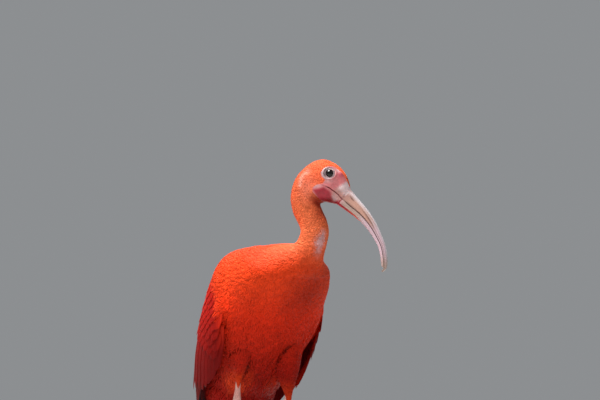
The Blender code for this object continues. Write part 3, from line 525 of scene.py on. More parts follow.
def bareness(points):
    """Above 0 on the bare face, as the distance inside its edge, and below 0 off it."""
    ahead, height, across = head_place(points)
    strip = np.interp(height, *np.transpose(FOREHEAD_STRIP))
    distance = edge_distance(ahead, height, FACE_EDGE)
    distance = np.where(ahead > 42, np.minimum(distance, np.abs(across) - strip), distance)
    return np.where(in_head(points) > 0.5, distance, -20.0)


def past_line(ahead, height, line):
    """Distance below and ahead of a line through two places."""
    (a, b), (c, d) = line
    way = np.array([d - b, a - c]) / math.hypot(a - c, b - d)
    return -(ahead - a) * way[0] - (height - b) * way[1]


def face_colour(points):
    """The bare skin's colours, on both sides alike, with painted shade round the eye ring."""
    ahead, height, _ = head_place(points)
    colour = np.broadcast_to(ROSE, points.shape)
    colour = mix(colour, STRONG_ROSE, bump(ahead - 61.5, 3.6) * bump(height - 362.5, 5.0))
    colour = mix(colour, BASE_PINK, 0.6 * bump(ahead - 58, 3.5) * bump(height - 367.5, 3.5))
    colour = mix(colour, JAW_PALE, 0.6 * bump(ahead - 46, 5.5) * bump(height - 353.6, 2.4))
    gape = edge_distance(ahead, height, GAPE_POINTS, loop=False)
    root = smooth(past_line(ahead, height, BILL_LINE), -2.4, 2.4) * smooth(ahead, 45, 54)
    colour = mix(colour, mix(BASE_SALMON, BASE_PINK, smooth(gape, 2.5, 9)), root * 0.95)
    colour = mix(colour, CRIMSON, smooth(edge_distance(ahead, height, JAW_PATCH), -2.4, 2.0))
    colour = mix(colour, JAW_PALE, 0.85 * bump(ahead - 33.0, 5.0) * bump(height - 347.6, 2.2))
    colour = mix(colour, JAW_PALE, 0.6 * bump(ahead - 55.5, 2.8) * bump(height - 336.0, 4.6))
    under = smooth(330.3 - height + 0.10 * (ahead - 55), -1.5, 1.5) * smooth(ahead, 46, 52)
    colour = mix(colour, UNDER_CRIMSON, under)
    deep = smooth(334.0 - height + 0.12 * (ahead - 45), -3.0, 3.5) * smooth(ahead, 26, 34)
    colour = mix(colour, DEEP_CRIMSON, deep * (1 - smooth(ahead, 48, 58)) * 0.9)
    line = 0.3 + 0.65 * smooth(ahead, 41, 49)
    colour = mix(colour, GAPE_RED, line * bump(gape, 0.75))
    ring = np.hypot((ahead - 46.9) / 8.5, (height - 363.0) / 7.7)
    colour = mix(colour, RING_PALE, 1 - smooth(ring, 0.88, 1.06))
    # Painted shade along the ring's rear edge and in the lid creases below the eye.
    colour = mix(colour, RING_SHADE_GREY, 0.55 * bump(ring - 1.0, 0.07) * smooth(50 - ahead, -4, 8))
    crease_shade = bump(ring - 0.70, 0.035) + bump(ring - 0.56, 0.03)
    return mix(colour, RING_SHADE_GREY, 0.5 * crease_shade * smooth(362 - height + 0.5 * (ahead - 46), -8, 4))


def thigh_glow(points):
    """Up to 1 round the lower end of each thigh, whose feathers are brighter than the belly."""
    glow = np.zeros(points.shape[:-1])
    for leg in LEGS.values():
        top, cuff = leg_point(leg["top"]), leg_point(leg["cuff"])
        share = np.clip((top[2] - points[..., 2]) / (top[2] - cuff[2]), 0, 1)[..., None]
        aside = np.linalg.norm((points - top - (cuff - top) * share)[..., :2], axis=-1)
        glow += bump(aside, GLOW_REACH) * (1 - smooth(points[..., 2] - cuff[2], *GLOW_RISE))
    return np.minimum(glow, 1)


def plumage(points):
    """The feathers' colours: scarlet, orange on breast, neck and head, with painted shade low down, on the
    breast and under the jaw, and a painted highlight by the ear.
    """
    y, z = points[..., 1], points[..., 2]
    # Darker toward the bottom as painted shade.
    colour = mix(LOW_PAINTED_SHADE_RED, SCARLET, smooth(z, 122, 222))
    colour = mix(colour, BREAST_ORANGE, 0.8 * smooth(z, 190, 262))
    # Painted shadow of the head and neck on the breast.
    shade = np.exp(-np.sum(((points - PAINTED_SHADOW_PLACE) / PAINTED_SHADOW_REACH) ** 2, axis=-1))
    colour = mix(colour, PAINTED_SHADOW_RED, 0.72 * shade)
    colour = mix(colour, BREAST_ORANGE, 0.8 * thigh_glow(points))
    neck = smooth(z, 250, 296) * smooth(-y, 62, 92)
    colour = mix(colour, NECK_ORANGE, neck)
    colour = mix(colour, CROWN_ORANGE, neck * smooth(z, 325, 362))
    for place, reach, strength in WORN_SPOTS:
        worn = np.exp(-np.sum(((points - place) / np.array(reach)) ** 2, axis=-1))
        colour = mix(colour, WORN_LILAC, np.clip(worn * strength, 0, 0.8))
    ahead, height, across = head_place(points)
    beside = in_head(points) * smooth(np.abs(across), 6, 10)
    # Painted highlight along the ear's arc and, fainter, over the side of the head behind the eye.
    ear_highlight = bump(edge_distance(ahead, height, EAR_HIGHLIGHT_ARC, loop=False), 2.6) * beside
    colour = mix(colour, EAR_HIGHLIGHT, 0.55 * ear_highlight)
    colour = mix(colour, EAR_HIGHLIGHT, 0.22 * bump(ahead - 24, 12) * bump(height - 350, 14) * beside)
    # Painted shadow under the jaw and on the throat below it.
    jaw_shadow = smooth(bareness(points), -9, -1) * smooth(338 - height, -4, 6)
    below = bump(ahead - 36, 9) * bump(height - 322, 9) * (np.abs(across) < 30)
    return mix(colour, THROAT_PAINTED_SHADOW, np.clip(0.7 * jaw_shadow + 0.65 * below, 0, 0.85))


def skin_colour(points):
    """What the skin shows: the bare face's colours, or those of the feathers over it."""
    return mix(plumage(points), face_colour(points), smooth(bareness(points), -0.5, 0.3))


# Materials

def new_material(name, roughness, **sockets):
    """A material whose colour comes from each point's own tint: (material, tree, shader, tint)."""
    material = bpy.data.materials.new(name)
    material.use_nodes = True
    tree = material.node_tree
    shader = tree.nodes["Principled BSDF"]
    shader.inputs["Roughness"].default_value = roughness
    for socket, value in sockets.items():
        shader.inputs[socket.replace("_", " ")].default_value = value
    tint = tree.nodes.new("ShaderNodeAttribute")
    tint.attribute_name = "tint"
    return material, tree, shader, tint.outputs["Color"]


def noise(tree, scale, detail=3.0, stretch=None, attribute=None):
    """Noise over the object's own place, or over a named attribute."""
    texture = tree.nodes.new("ShaderNodeTexNoise")
    texture.inputs["Scale"].default_value = scale
    texture.inputs["Detail"].default_value = detail
    if attribute:
        source = tree.nodes.new("ShaderNodeAttribute")
        source.attribute_name = attribute
        place = source.outputs["Vector"]
    else:
        place = tree.nodes.new("ShaderNodeTexCoord").outputs["Object"]
    if stretch:
        mapping = tree.nodes.new("ShaderNodeMapping")
        mapping.inputs["Scale"].default_value = stretch
        tree.links.new(place, mapping.inputs["Vector"])
        place = mapping.outputs["Vector"]
    tree.links.new(place, texture.inputs["Vector"])
    return texture.outputs["Fac"]


def ranged(tree, value, low, high, start=0.3, end=0.7):
    """low to high while a value runs from start to end."""
    node = tree.nodes.new("ShaderNodeMapRange")
    for socket, number in (("From Min", start), ("From Max", end), ("To Min", low), ("To Max", high)):
        node.inputs[socket].default_value = number
    tree.links.new(value, node.inputs["Value"])
    return node.outputs["Result"]


def shaded(tree, colour, amount):
    """The colour times a number."""
    node = tree.nodes.new("ShaderNodeVectorMath")
    node.operation = "SCALE"
    tree.links.new(colour, node.inputs[0])
    tree.links.new(amount, node.inputs["Scale"])
    return node.outputs["Vector"]


def blended(tree, first, second, amount):
    """The first colour, with the second mixed in by an amount."""
    node = tree.nodes.new("ShaderNodeMix")
    node.data_type = "RGBA"
    tree.links.new(amount, node.inputs["Factor"])
    tree.links.new(first, node.inputs["A"])
    if isinstance(second, tuple):
        node.inputs["B"].default_value = (*second, 1.0)
    else:
        tree.links.new(second, node.inputs["B"])
    return node.outputs["Result"]


def bumped(tree, shader, height, distance, strength=0.5):
    """Adds fine relief; distance is in metres."""
    node = tree.nodes.new("ShaderNodeBump")
    node.inputs["Distance"].default_value = distance
    node.inputs["Strength"].default_value = strength
    tree.links.new(height, node.inputs["Height"])
    previous = shader.inputs["Normal"].links
    if previous:
        tree.links.new(previous[0].from_socket, node.inputs["Normal"])
    tree.links.new(node.outputs["Normal"], shader.inputs["Normal"])


def feather_material(name, mottle, size, sheen, sheen_tint):
    """Feathers: the tint with soft mottling, fine barbs and a velvet sheen."""
    material, tree, shader, tint = new_material(
        name, 0.6, Specular_IOR_Level=0.07, Sheen_Weight=sheen, Sheen_Roughness=0.35,
        Sheen_Tint=(*sheen_tint, 1.0),
    )
    broad = ranged(tree, noise(tree, size, 3), 1 - mottle, 1 + mottle)
    fine = ranged(tree, noise(tree, 700, 2), 0.94, 1.06)
    colour = shaded(tree, shaded(tree, tint, broad), fine)
    pale = shaded(tree, tint, ranged(tree, noise(tree, 130, 3), 1.0, 1.3))
    colour = blended(tree, colour, pale, ranged(tree, noise(tree, 90, 2), 0.0, mottle * 2, 0.5, 0.7))
    barb = tree.nodes.new("ShaderNodeAttribute")
    barb.attribute_name = "barb"
    wave = tree.nodes.new("ShaderNodeMath")
    wave.operation = "SINE"
    tree.links.new(barb.outputs["Fac"], wave.inputs[0])
    barred = shaded(tree, colour, ranged(tree, wave.outputs[0], 0.95, 1.04, -1, 1))
    tree.links.new(barred, shader.inputs["Base Color"])
    bumped(tree, shader, wave.outputs[0], 0.00010, 0.45)
    bumped(tree, shader, noise(tree, 1500, 2), 0.0002, 0.3)
    return material


def face_material():
    """Bare skin: soft, finely wrinkled, a little moist."""
    material, tree, shader, tint = new_material(
        "bare face", 0.42, Specular_IOR_Level=0.42, Subsurface_Weight=0.14,
        Subsurface_Radius=(1.0, 0.35, 0.25), Subsurface_Scale=0.0015,
    )
    blotch = shaded(tree, tint, ranged(tree, noise(tree, 260, 4), 0.84, 1.12))
    veins = ranged(tree, noise(tree, 700, 3), 0.0, 0.18, 0.5, 0.75)
    tree.links.new(blended(tree, blotch, (0.45, 0.06, 0.07), veins), shader.inputs["Base Color"])
    cells = tree.nodes.new("ShaderNodeTexVoronoi")
    cells.inputs["Scale"].default_value = 950
    place = tree.nodes.new("ShaderNodeTexCoord")
    tree.links.new(place.outputs["Object"], cells.inputs["Vector"])
    bumped(tree, shader, cells.outputs["Distance"], 0.0003, 0.25)
    bumped(tree, shader, noise(tree, 420, 4, stretch=(1, 1, 1.6)), 0.0006, 0.18)
    return material


def horn_material():
    """Bill: satin horn with fine streaks along it."""
    material, tree, shader, tint = new_material("bill horn", 0.34, Specular_IOR_Level=0.5)
    streak = noise(tree, 1.0, 4, attribute="grain")
    colour = shaded(tree, tint, ranged(tree, streak, 0.86, 1.08))
    brown_mark = ranged(tree, noise(tree, 150, 4), 0.0, 0.16, 0.5, 0.75)
    tree.links.new(blended(tree, colour, (0.34, 0.16, 0.10), brown_mark), shader.inputs["Base Color"])
    tree.links.new(ranged(tree, streak, 0.42, 0.26), shader.inputs["Roughness"])
    bumped(tree, shader, streak, 0.0003, 0.4)
    return material


def leg_material():
    """Legs: dry scaled skin, with dust-grey between the scales."""
    material, tree, shader, tint = new_material("leg skin", 0.5, Specular_IOR_Level=0.4)
    colour = shaded(tree, tint, ranged(tree, noise(tree, 320, 4), 0.84, 1.12))
    grime = ranged(tree, noise(tree, 120, 4), 0.0, 0.35, 0.5, 0.8)
    tree.links.new(blended(tree, colour, (0.42, 0.25, 0.22), grime), shader.inputs["Base Color"])
    bumped(tree, shader, noise(tree, 1300, 3), 0.0003, 0.4)
    return material


def claw_material():
    """Claws: dark horn, streaked along its length."""
    material, tree, shader, tint = new_material("claw horn", 0.3, Specular_IOR_Level=0.5)
    streak = noise(tree, 500, 4, stretch=(1, 1, 0.3))
    tree.links.new(shaded(tree, tint, ranged(tree, streak, 0.7, 1.3)), shader.inputs["Base Color"])
    bumped(tree, shader, streak, 0.0002, 0.4)
    return material


def eye_material():
    """Eyes: wet and nearly smooth."""
    material, tree, shader, tint = new_material("eye", 0.05, Specular_IOR_Level=0.42)
    colour = shaded(tree, tint, ranged(tree, noise(tree, 900, 4), 0.7, 1.3))
    tree.links.new(colour, shader.inputs["Base Color"])
    return material


# Meshes

class Batch:
    """Closed shapes gathered for one mesh, with a tint and a map place for each point."""

    def __init__(self):
        self.points, self.faces, self.extra, self.count = [], [], {}, 0

    def add(self, points, faces, **extra):
        """points (n, 3); faces are index arrays; extra holds one value for each point."""
        self.points.append(points.reshape(-1, 3))
        self.faces += [np.asarray(face) + self.count for face in faces]
        for name, values in extra.items():
            self.extra.setdefault(name, []).append(values.reshape(len(self.points[-1]), -1))
        self.count += len(self.points[-1])


def new_object(name, data):
    """An object in the scene that shows this data."""
    thing = bpy.data.objects.new(name, data)
    bpy.context.scene.collection.objects.link(thing)
    return thing


def signed_volume(points, faces):
    """Six times the volume inside a closed mesh, negative where its faces look inward."""
    total = 0.0
    for face in faces:
        corners = points[face]
        for k in range(1, face.shape[1] - 1):
            total += np.sum(corners[:, 0] * np.cross(corners[:, k], corners[:, k + 1]))
    return total


def mesh_object(name, batch, material):
    """One mesh from a batch: faces outward, smooth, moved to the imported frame."""
    points = np.concatenate(batch.points)
    faces = batch.faces
    if signed_volume(points, faces) < 0:
        faces = [face[:, ::-1] for face in faces]
    corners = np.concatenate([face.ravel() for face in faces])
    sizes = np.concatenate([np.full(len(face), face.shape[1]) for face in faces])
    mesh = bpy.data.meshes.new(name)
    mesh.vertices.add(len(points))
    mesh.vertices.foreach_set("co", (points * MM + SHIFT).astype(np.float32).ravel())
    mesh.loops.add(len(corners))
    mesh.loops.foreach_set("vertex_index", corners.astype(np.int32))
    mesh.polygons.add(len(sizes))
    mesh.polygons.foreach_set("loop_start", np.concatenate([[0], np.cumsum(sizes)[:-1]]).astype(np.int32))
    mesh.update(calc_edges=True)
    mesh.validate()
    mesh.shade_smooth()
    for key, values in batch.extra.items():
        values = np.concatenate(values)
        if key == "map":
            layer = mesh.uv_layers.new(name="OFBake")
            layer.uv.foreach_set("vector", values[corners].astype(np.float32).ravel())
        else:
            write_values(mesh, key, values)
    mesh.materials.append(material)
    return new_object(name, mesh)


# The kind of a mesh attribute, and the name of its values, for each number of columns.
VALUE_KINDS = {1: ("FLOAT", "value"), 3: ("FLOAT_VECTOR", "vector"), 4: ("FLOAT_COLOR", "color")}


def write_values(mesh, name, values):
    """Stores a number, a vector or a colour for each point of the mesh."""
    if name == "tint":
        values = np.concatenate([values, np.ones((len(values), 1))], axis=1)
    kind, field = VALUE_KINDS[values.shape[1]]
    stored = mesh.attributes.new(name, kind, "POINT")
    stored.data.foreach_set(field, values.astype(np.float32).ravel())


def settle(thing, slot, *nodes):
    """Fixes a finished piece to the model and hides the solids that it stands for."""
    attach(thing, "root")
    if nodes:
        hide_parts(*nodes)


def tube_faces(rings, count):
    """Quads round a run of rings, with both ends closed."""
    i, k = np.meshgrid(np.arange(rings - 1), np.arange(count), indexing="ij")
    a, b = i * count + k, i * count + (k + 1) % count
    quads = np.stack([a, b, b + count, a + count], -1).reshape(-1, 4)
    ends = [np.arange(count)[::-1][None], np.arange((rings - 1) * count, rings * count)[None]]
    return [quads, *ends]


def join(base, pieces):
    """One closed skin from overlapping ones, which are then removed."""
    helpers = bpy.data.collections.new(base.name + "_pieces")
    for piece in pieces:
        helpers.objects.link(piece)
    boolean = base.modifiers.new("Join", "BOOLEAN")
    boolean.operation = "UNION"
    boolean.solver = "MANIFOLD"
    boolean.operand_type = "COLLECTION"
    boolean.collection = helpers
    bpy.context.view_layer.update()
    graph = bpy.context.evaluated_depsgraph_get()
    base.data = bpy.data.meshes.new_from_object(base.evaluated_get(graph))
    base.modifiers.clear()
    for piece in pieces:
        bpy.data.objects.remove(piece)
    bpy.data.collections.remove(helpers)
    base.data.shade_smooth()


def own_points(thing):
    """A finished mesh's points, back in the bird's own millimetres."""
    values = np.empty(len(thing.data.vertices) * 3, np.float32)
    thing.data.vertices.foreach_get("co", values)
    return (values.reshape(-1, 3).astype(float) - SHIFT) / MM


# Small feathers

# A spread of places without rows, then each lock's shape from root to tip: share of its
# length, width and height of its ridge. Each of its ten points is a shade lighter or darker.
GOLDEN = (0.7548776662, 0.5698402910)
LOCK_SHARES = np.array([0.0, 0.5, 0.87, 1.0])
LOCK_WIDTHS = np.array([0.8, 1.1, 0.92, 0.0])
LOCK_HEIGHTS = np.array([0.7, 1.0, 0.75, 0.0])
LOCK_FADE = np.array([0.97] * 3 + [0.99] * 3 + [1.01] * 3 + [1.03])
LOCK_OVERLAP = 2.2
LOCK_THICK = 0.13
# How far a feather's colours reach in the coat's map, and the most triangles in one piece.
PATCH = 0.003
MOST_COAT = 190000


def scatter(surface, spacing, keep, seed):
    """Roots spread evenly over a surface, closer where spacing is small: (u, v)."""
    columns = surface.points.shape[1]
    u, v = np.meshgrid(surface.rows, np.arange(columns) / columns, indexing="ij")
    cell = np.gradient(surface.rows)[:, None] / columns
    weight = surface.stretch[..., 0] * surface.stretch[..., 1] * cell / spacing(u, v) ** 2 * keep(u, v)
    total = int(weight.sum())
    chance = np.random.default_rng(seed)
    place = (chance.random(2)[:, None] + np.outer(GOLDEN, np.arange(total))) % 1.0
    down = np.concatenate([[0], np.cumsum(weight.sum(axis=1))])
    index = np.interp(place[0] * down[-1], down, np.arange(len(down)))
    across = np.zeros(total)
    for row in np.unique(index.astype(int)):
        chosen = index.astype(int) == row
        run = np.concatenate([[0], np.cumsum(weight[min(row, len(weight) - 1)])])
        across[chosen] = np.interp(place[1][chosen] * run[-1], run, np.linspace(0, 1, len(run)))
    roots = np.interp(index - 0.5, np.arange(len(surface.rows)), surface.rows)
    jitter = chance.uniform(-0.16, 0.16, (2, total))
    step = spacing(roots, across) / np.maximum(surface.read(surface.stretch, roots, across), 1.0).T
    return roots + jitter[0] * step[0], across + jitter[1] * step[1]


def lay_feathers(name, surface, u, v, flow, length, half, locks, low, high, material, seed, slot,
                 colour=plumage, spread=0.1, ground=None):
    """Small feathers, each a fan of soft locks from a sunken root to a rounded tip."""
    order = np.argsort(u)
    parts = max(1, math.ceil(len(u) * locks * 16 / MOST_COAT))
    for part, chosen in enumerate(np.array_split(order, parts)):
        title = f"{name}_{part + 1}" if parts > 1 else name
        values = [x[chosen] if isinstance(x, np.ndarray) else np.full(len(chosen), float(x))
                  for x in (u, v, length, half, low, high)]
        batch = Batch()
        add_feathers(batch, surface, *values[:2], flow, *values[2:4], locks, *values[4:], seed + part,
                     colour, spread, ground)
        settle(mesh_object(title, batch, material), slot)


def add_feathers(batch, surface, u, v, flow, length, half, locks, low, high, seed, colour, spread, ground):
    """Adds the feathers to a batch: every lock is a closed solid of ten points."""
    chance = np.random.default_rng(seed)
    count, shares = len(u), LOCK_SHARES

    def each(values):
        return values[:, None, None]

    j = np.linspace(-1, 1, locks)[None, :, None] if locks > 1 else np.zeros((1, 1, 1))
    grown = chance.uniform(0.85, 1.15, count)
    reach = (1 - 0.24 * j**2) * each(length * grown) * chance.uniform(0.86, 1.08, (count, locks, 1))
    fan = (0.22 + 0.78 * np.sin(np.minimum(shares / 0.75, 1) * math.pi / 2)) * np.ones((1, 1, 4))
    aside = each(half) * j * fan + each(chance.normal(0, 0.07, count) * length) * shares**2
    aside = aside + each(half) * chance.normal(0, 0.1, (count, locks, 1)) * shares
    along = reach * shares
    turn = each(chance.normal(0, spread, count))
    along, aside = along * np.cos(turn) - aside * np.sin(turn), along * np.sin(turn) + aside * np.cos(turn)
    lift = (each(chance.uniform(-0.2, 0.1, count)) - 0.35 * j**2) * np.minimum(each(half) / 4, 1)
    out = each(low) + (each(high) - each(low)) * shares**0.75 + lift * shares
    width = each(half) * (LOCK_OVERLAP / locks) * LOCK_WIDTHS
    ridge = LOCK_THICK * np.minimum(each(half) / 3, 1) * LOCK_HEIGHTS
    stretch = np.maximum(surface.read(surface.stretch, u, v), 1.0)
    across = np.stack([aside - width, aside, aside + width], -1)
    height = np.stack([out, out + ridge, out], -1)
    place_u = surface.walk(u, v, flow * along)[..., None]
    place_v = each(v)[..., None] + across / each(stretch[:, 1])[..., None]
    place_u, place_v, height = np.broadcast_arrays(place_u, place_v, height)
    if ground:
        height = height + ground(place_u, place_v)
    picked = np.array([0, 1, 2, 3, 4, 5, 6, 7, 8, 10])
    flat = (count * locks, 12)
    points = surface.at(*(x.reshape(flat)[:, picked] for x in (place_u, place_v, height)))
    tone = chance.normal(1.0, 0.045, (count, 1)) * np.ones((1, locks))
    tone = tone * chance.normal(1.0, 0.025, (count, locks))
    tint = colour(surface.at(u, v, high))[:, None, None, :] * tone[..., None, None] * LOCK_FADE[:, None]
    cells = surface.map_place(u, v)[:, None, None, :]
    map_aside = j[0, :, 0][:, None] * np.ones((1, 10)) * 0.5
    map_along = np.ones((locks, 1)) * (LOCK_FADE - 1.0)[None] * 12
    offset = np.stack([map_aside, map_along], -1)
    maps = np.clip(cells + offset * PATCH, 0.001, 0.999)
    quads = [(0, 1, 4, 3), (1, 2, 5, 4), (2, 0, 3, 5), (3, 4, 7, 6), (4, 5, 8, 7), (5, 3, 6, 8)]
    tris = [(6, 7, 9), (7, 8, 9), (8, 6, 9), (2, 1, 0)]
    starts = (np.arange(count * locks) * 10)[:, None, None]
    faces = [(starts + np.array(kind)).reshape(-1, len(kind[0])) for kind in (quads, tris)]
    batch.add(points, faces, tint=tint.reshape(-1, 3), map=np.broadcast_to(maps, (count, locks, 10, 2)))


# Place along the body, length, half width and spacing of the small feathers, depth of the coat.
COAT_ROWS = [
    (-TAIL_CORE, 26, 5.6, 4.6, 1.2),
    (0, 27, 5.6, 4.5, 1.4),
    (90, 20, 5.2, 4.9, 1.5),
    (NECK_JOIN - 50, 17, 4.5, 4.4, 1.4),
    (NECK_JOIN, 12, 3.1, 3.0, 1.1),
    (NECK_JOIN + 38, 9, 2.2, 2.3, 0.9),
    (HEAD_JOIN, 7.2, 1.6, 1.75, 0.75),
    (HEAD_JOIN + 35, 5.2, 1.1, 1.4, 0.55),
    (BILL_JOIN + 5, 3.4, 0.8, 1.1, 0.4),
]
COAT_LENGTH = Track([row[:2] for row in COAT_ROWS])
COAT_HALF = Track([(row[0], row[2]) for row in COAT_ROWS])
COAT_SPACING = Track([(row[0], row[3]) for row in COAT_ROWS])
COAT_DEPTH = Track([(row[0], row[4]) for row in COAT_ROWS])
# Spans of the body that each coat piece covers, with the locks in each feather.
COAT_SPANS = [
    ("coat_rump", -TAIL_CORE, 20, 8, "scarlet_feathers"),
    ("coat_body", 20, NECK_JOIN - 10, 8, "scarlet_feathers"),
    ("coat_neck", NECK_JOIN - 10, HEAD_JOIN, 6, "neck_feathers"),
    ("coat_head", HEAD_JOIN, BILL_JOIN + 3, 5, "neck_feathers"),
]
BARE_MARGIN = 0.1
FLARE, FLARE_AT, FLARE_REACH = 8.0, 0.0, 26.0
FLANK_FLARE = 1.6
RISE_REACH, RISE_NONE, RISE_SMOOTHING = 13.0, -2.0, 3
SPAN_BLEND = 13.0
# How far feathers lie over skin that stands out, and the most that it may at their roots.
COAT_OVER_SKIN = 1.05
ROOT_RISE_MOST = 4.5


def trunk_place(points):
    """How far along the trunk's axis and how far toward the belly points lie."""
    fore, up = -points[..., 1] - TRUNK_MIDDLE[0], points[..., 2] - TRUNK_MIDDLE[1]
    return fore * TRUNK_ALONG[0] + up * TRUNK_ALONG[1], fore * TRUNK_DOWN[0] + up * TRUNK_DOWN[1]


def trunk_arc(surface, u, v):
    """How far down and how far round the folded wing's own sheet a trunk place lies."""
    along, _ = trunk_place(surface.at(u, v))
    round_way = np.minimum(np.mod(v, 1), 1 - np.mod(v, 1)) * surface.read(surface.stretch, u, v)[..., 1]
    return WING_TOP - along, round_way


def under_wing(surface, u, v):
    """1 well under a folded wing, 0 outside it."""
    down, arc = trunk_arc(surface, u, v)
    inside = smooth(down - WING_FRONT.within(arc), 1, 9) * smooth(arc, 24, 32) * (1 - smooth(arc, 100, 106))
    return inside * (u < NECK_JOIN - 30) * smooth(u, 34, 60)


def skin_rises(skin_tree, surface):
    """How far the joined skin of thighs and wings stands out over each point of the trunk."""
    outer = surface.points + surface.normals * RISE_REACH
    rises = np.full(surface.points.shape[:2], RISE_NONE)
    for i, k in np.ndindex(rises.shape):
        if surface.rows[i] < NECK_JOIN - 15:
            inward = Vector(-surface.normals[i, k])
            hit = skin_tree.ray_cast(Vector(outer[i, k]), inward, RISE_REACH - RISE_NONE)
            if hit[0] is not None:
                rises[i, k] = RISE_REACH - hit[3]
    for _ in range(RISE_SMOOTHING):
        rises[1:-1] = (rises[:-2] + 2 * rises[1:-1] + rises[2:]) / 4
        rises = (np.roll(rises, 1, axis=1) + 2 * rises + np.roll(rises, -1, axis=1)) / 4
    return rises[..., None]


def flank(surface, u, v):
    """1 along the folded wing's lower edge, where the flank's feathers stand out over it."""
    down, arc = trunk_arc(surface, u, v)
    beside = smooth(arc, 94, 108) * (1 - smooth(arc, 134, 150))
    return beside * smooth(down, 45, 75) * (u < NECK_JOIN - 40)


def flare(u, v):
    """How far the long feathers of flank and vent stand off the narrowing tail root."""
    low = smooth(0.5 - np.abs(np.mod(v, 1) - 0.5), 0.12, 0.22)
    return FLARE * bump(u - FLARE_AT, FLARE_REACH) * low


def make_body_coat(surface, body, skin, scarlet, orange):
    """Small feathers from the face back over head, neck, breast, belly and rump."""
    gap = np.sum((surface.points - body.points) * surface.normals, axis=2, keepdims=True)
    rises = skin_rises(mesh_tree(skin), surface)

    def ground(u, v):
        return np.maximum(surface.read(rises, u, v)[..., 0] + COAT_OVER_SKIN, 0)

    def spacing(u, v):
        return COAT_SPACING.within(u) * np.where(bareness(surface.at(u, v)) > -2.5, 0.62, 1.0)

    for number, (name, start, end, locks, slot) in enumerate(COAT_SPANS):

        def keep(u, v):
            bare = bareness(surface.at(u, v))
            ends = smooth(u, start - SPAN_BLEND, start + SPAN_BLEND) if start > -TAIL_CORE else 1.0
            ends = ends * (1 - smooth(u, end - SPAN_BLEND, end + SPAN_BLEND)) if end < BILL_JOIN else ends
            return ends * (bare < -BARE_MARGIN) * (1 - under_wing(surface, u, v))

        u, v = scatter(surface, spacing, keep, 10 + number)
        bare = bareness(surface.at(u, v))
        root_rise = surface.read(rises, u, v)[:, 0]
        kept = (bare < -BARE_MARGIN) & (root_rise < ROOT_RISE_MOST)
        u, v, near = u[kept], v[kept], smooth(-bare[kept], 0.2, 5.0)
        depth = COAT_DEPTH.within(u) * smooth(-bare[kept], -0.4, 2.2)
        length = COAT_LENGTH.within(u) * (0.42 + 0.58 * near)
        low = -surface.read(gap, u, v)[:, 0] - depth - 0.12 - 0.18 * near
        high = -0.15 + flare(u, v) + FLANK_FLARE * flank(surface, u, v) + 0.12 * (1 - near)
        material = orange if slot == "neck_feathers" else scarlet
        lay_feathers(name, surface, u, v, -1, length, COAT_HALF.within(u), locks, low, high, material,
                     20 + number, slot, ground=ground)


# Skin

EYE_REACH = 10.5
# Distance from the eye's middle, rise of the lids over a line from the eyeball to the face.
LID_RELIEF = [
    (0, -1.2), (4.35, -1.1), (4.6, -0.3), (4.8, 0.3), (5.15, 0.55), (5.6, 0.42), (6.1, 0.1),
    (6.6, 0.0), (7.1, 0.2), (7.7, 0.26), (8.3, 0.08), (9.2, -0.12), (EYE_REACH, 0.0),
]
GAPE_DEPTH, GAPE_WIDTH, LIP_RISE = 0.9, 0.55, 0.28
FINE_CUTS = 2


def lid_place(ahead, height, across):
    """Distance from the eye's middle in the head's plane, and how far out lids and face lie there."""
    reach = np.hypot((ahead - EYE_AHEAD) / 1.04, height - EYE_HEIGHT)
    ball = EYE_ACROSS + np.sqrt(np.maximum(EYE_RADIUS**2 - reach**2, 0))
    line = ball + (np.abs(across) - ball) * smooth(reach, 4.8, 7.0)
    knots = np.array(LID_RELIEF, float)
    return reach, line + np.interp(reach, knots[:, 0], knots[:, 1])


def refine_face(thing):
    """Finer faces round the eyes and along the mouth, then lids, gape and fine folds."""
    body = bmesh.new()
    body.from_mesh(thing.data)
    points = own_points(thing)
    ahead, height, across = head_place(points)
    gape = edge_distance(ahead, height, GAPE_POINTS, loop=False)
    eye = np.hypot(ahead - EYE_AHEAD, height - EYE_HEIGHT)
    near = (np.abs(across) > 5) * (in_head(points) > 0.5) * ((eye < EYE_REACH) | (gape < 2.5))
    body.verts.ensure_lookup_table()
    edges = [edge for edge in body.edges if near[edge.verts[0].index] and near[edge.verts[1].index]]
    bmesh.ops.subdivide_edges(body, edges=edges, cuts=FINE_CUTS, use_grid_fill=True)
    body.to_mesh(thing.data)
    body.free()
    shape_face(thing)


def shape_face(thing):
    """Moves the skin of the face out and in: lids, lips, gape and fine folds."""
    points = own_points(thing)
    ahead, height, across = head_place(points)
    side = np.sign(across)
    beside = smooth(np.abs(across), 4, 7) * in_head(points)
    reach, lids = lid_place(ahead, height, across)
    wide = np.where((reach < EYE_REACH) & (beside > 0.5), lids, np.abs(across))
    gape = edge_distance(ahead, height, GAPE_POINTS, loop=False)
    fade = beside * (1 - smooth(ahead, 55, 61)) * smooth(ahead, 38, 46)
    wide += fade * (LIP_RISE * bump(gape - 1.25, 0.6) - GAPE_DEPTH * bump(gape, GAPE_WIDTH))
    root = edge_distance(ahead, height, [HEAD_ROWS[-1][0], HEAD_ROWS[-1][1]], loop=False)
    folds = smooth(bareness(points), 0, 2) * smooth(reach, 9, 12) * smooth(root, 2, 7) * beside
    wide += 0.05 * folds * np.sin(1.9 * ahead + 1.3 * height + 2.4 * np.sin(0.5 * height + 0.4 * ahead))
    moved = world(ahead, height, side * wide, HEAD_TURN)
    points = np.where((beside > 0)[:, None], moved, points)
    thing.data.vertices.foreach_set("co", (points * MM + SHIFT).astype(np.float32).ravel())
    thing.data.update()


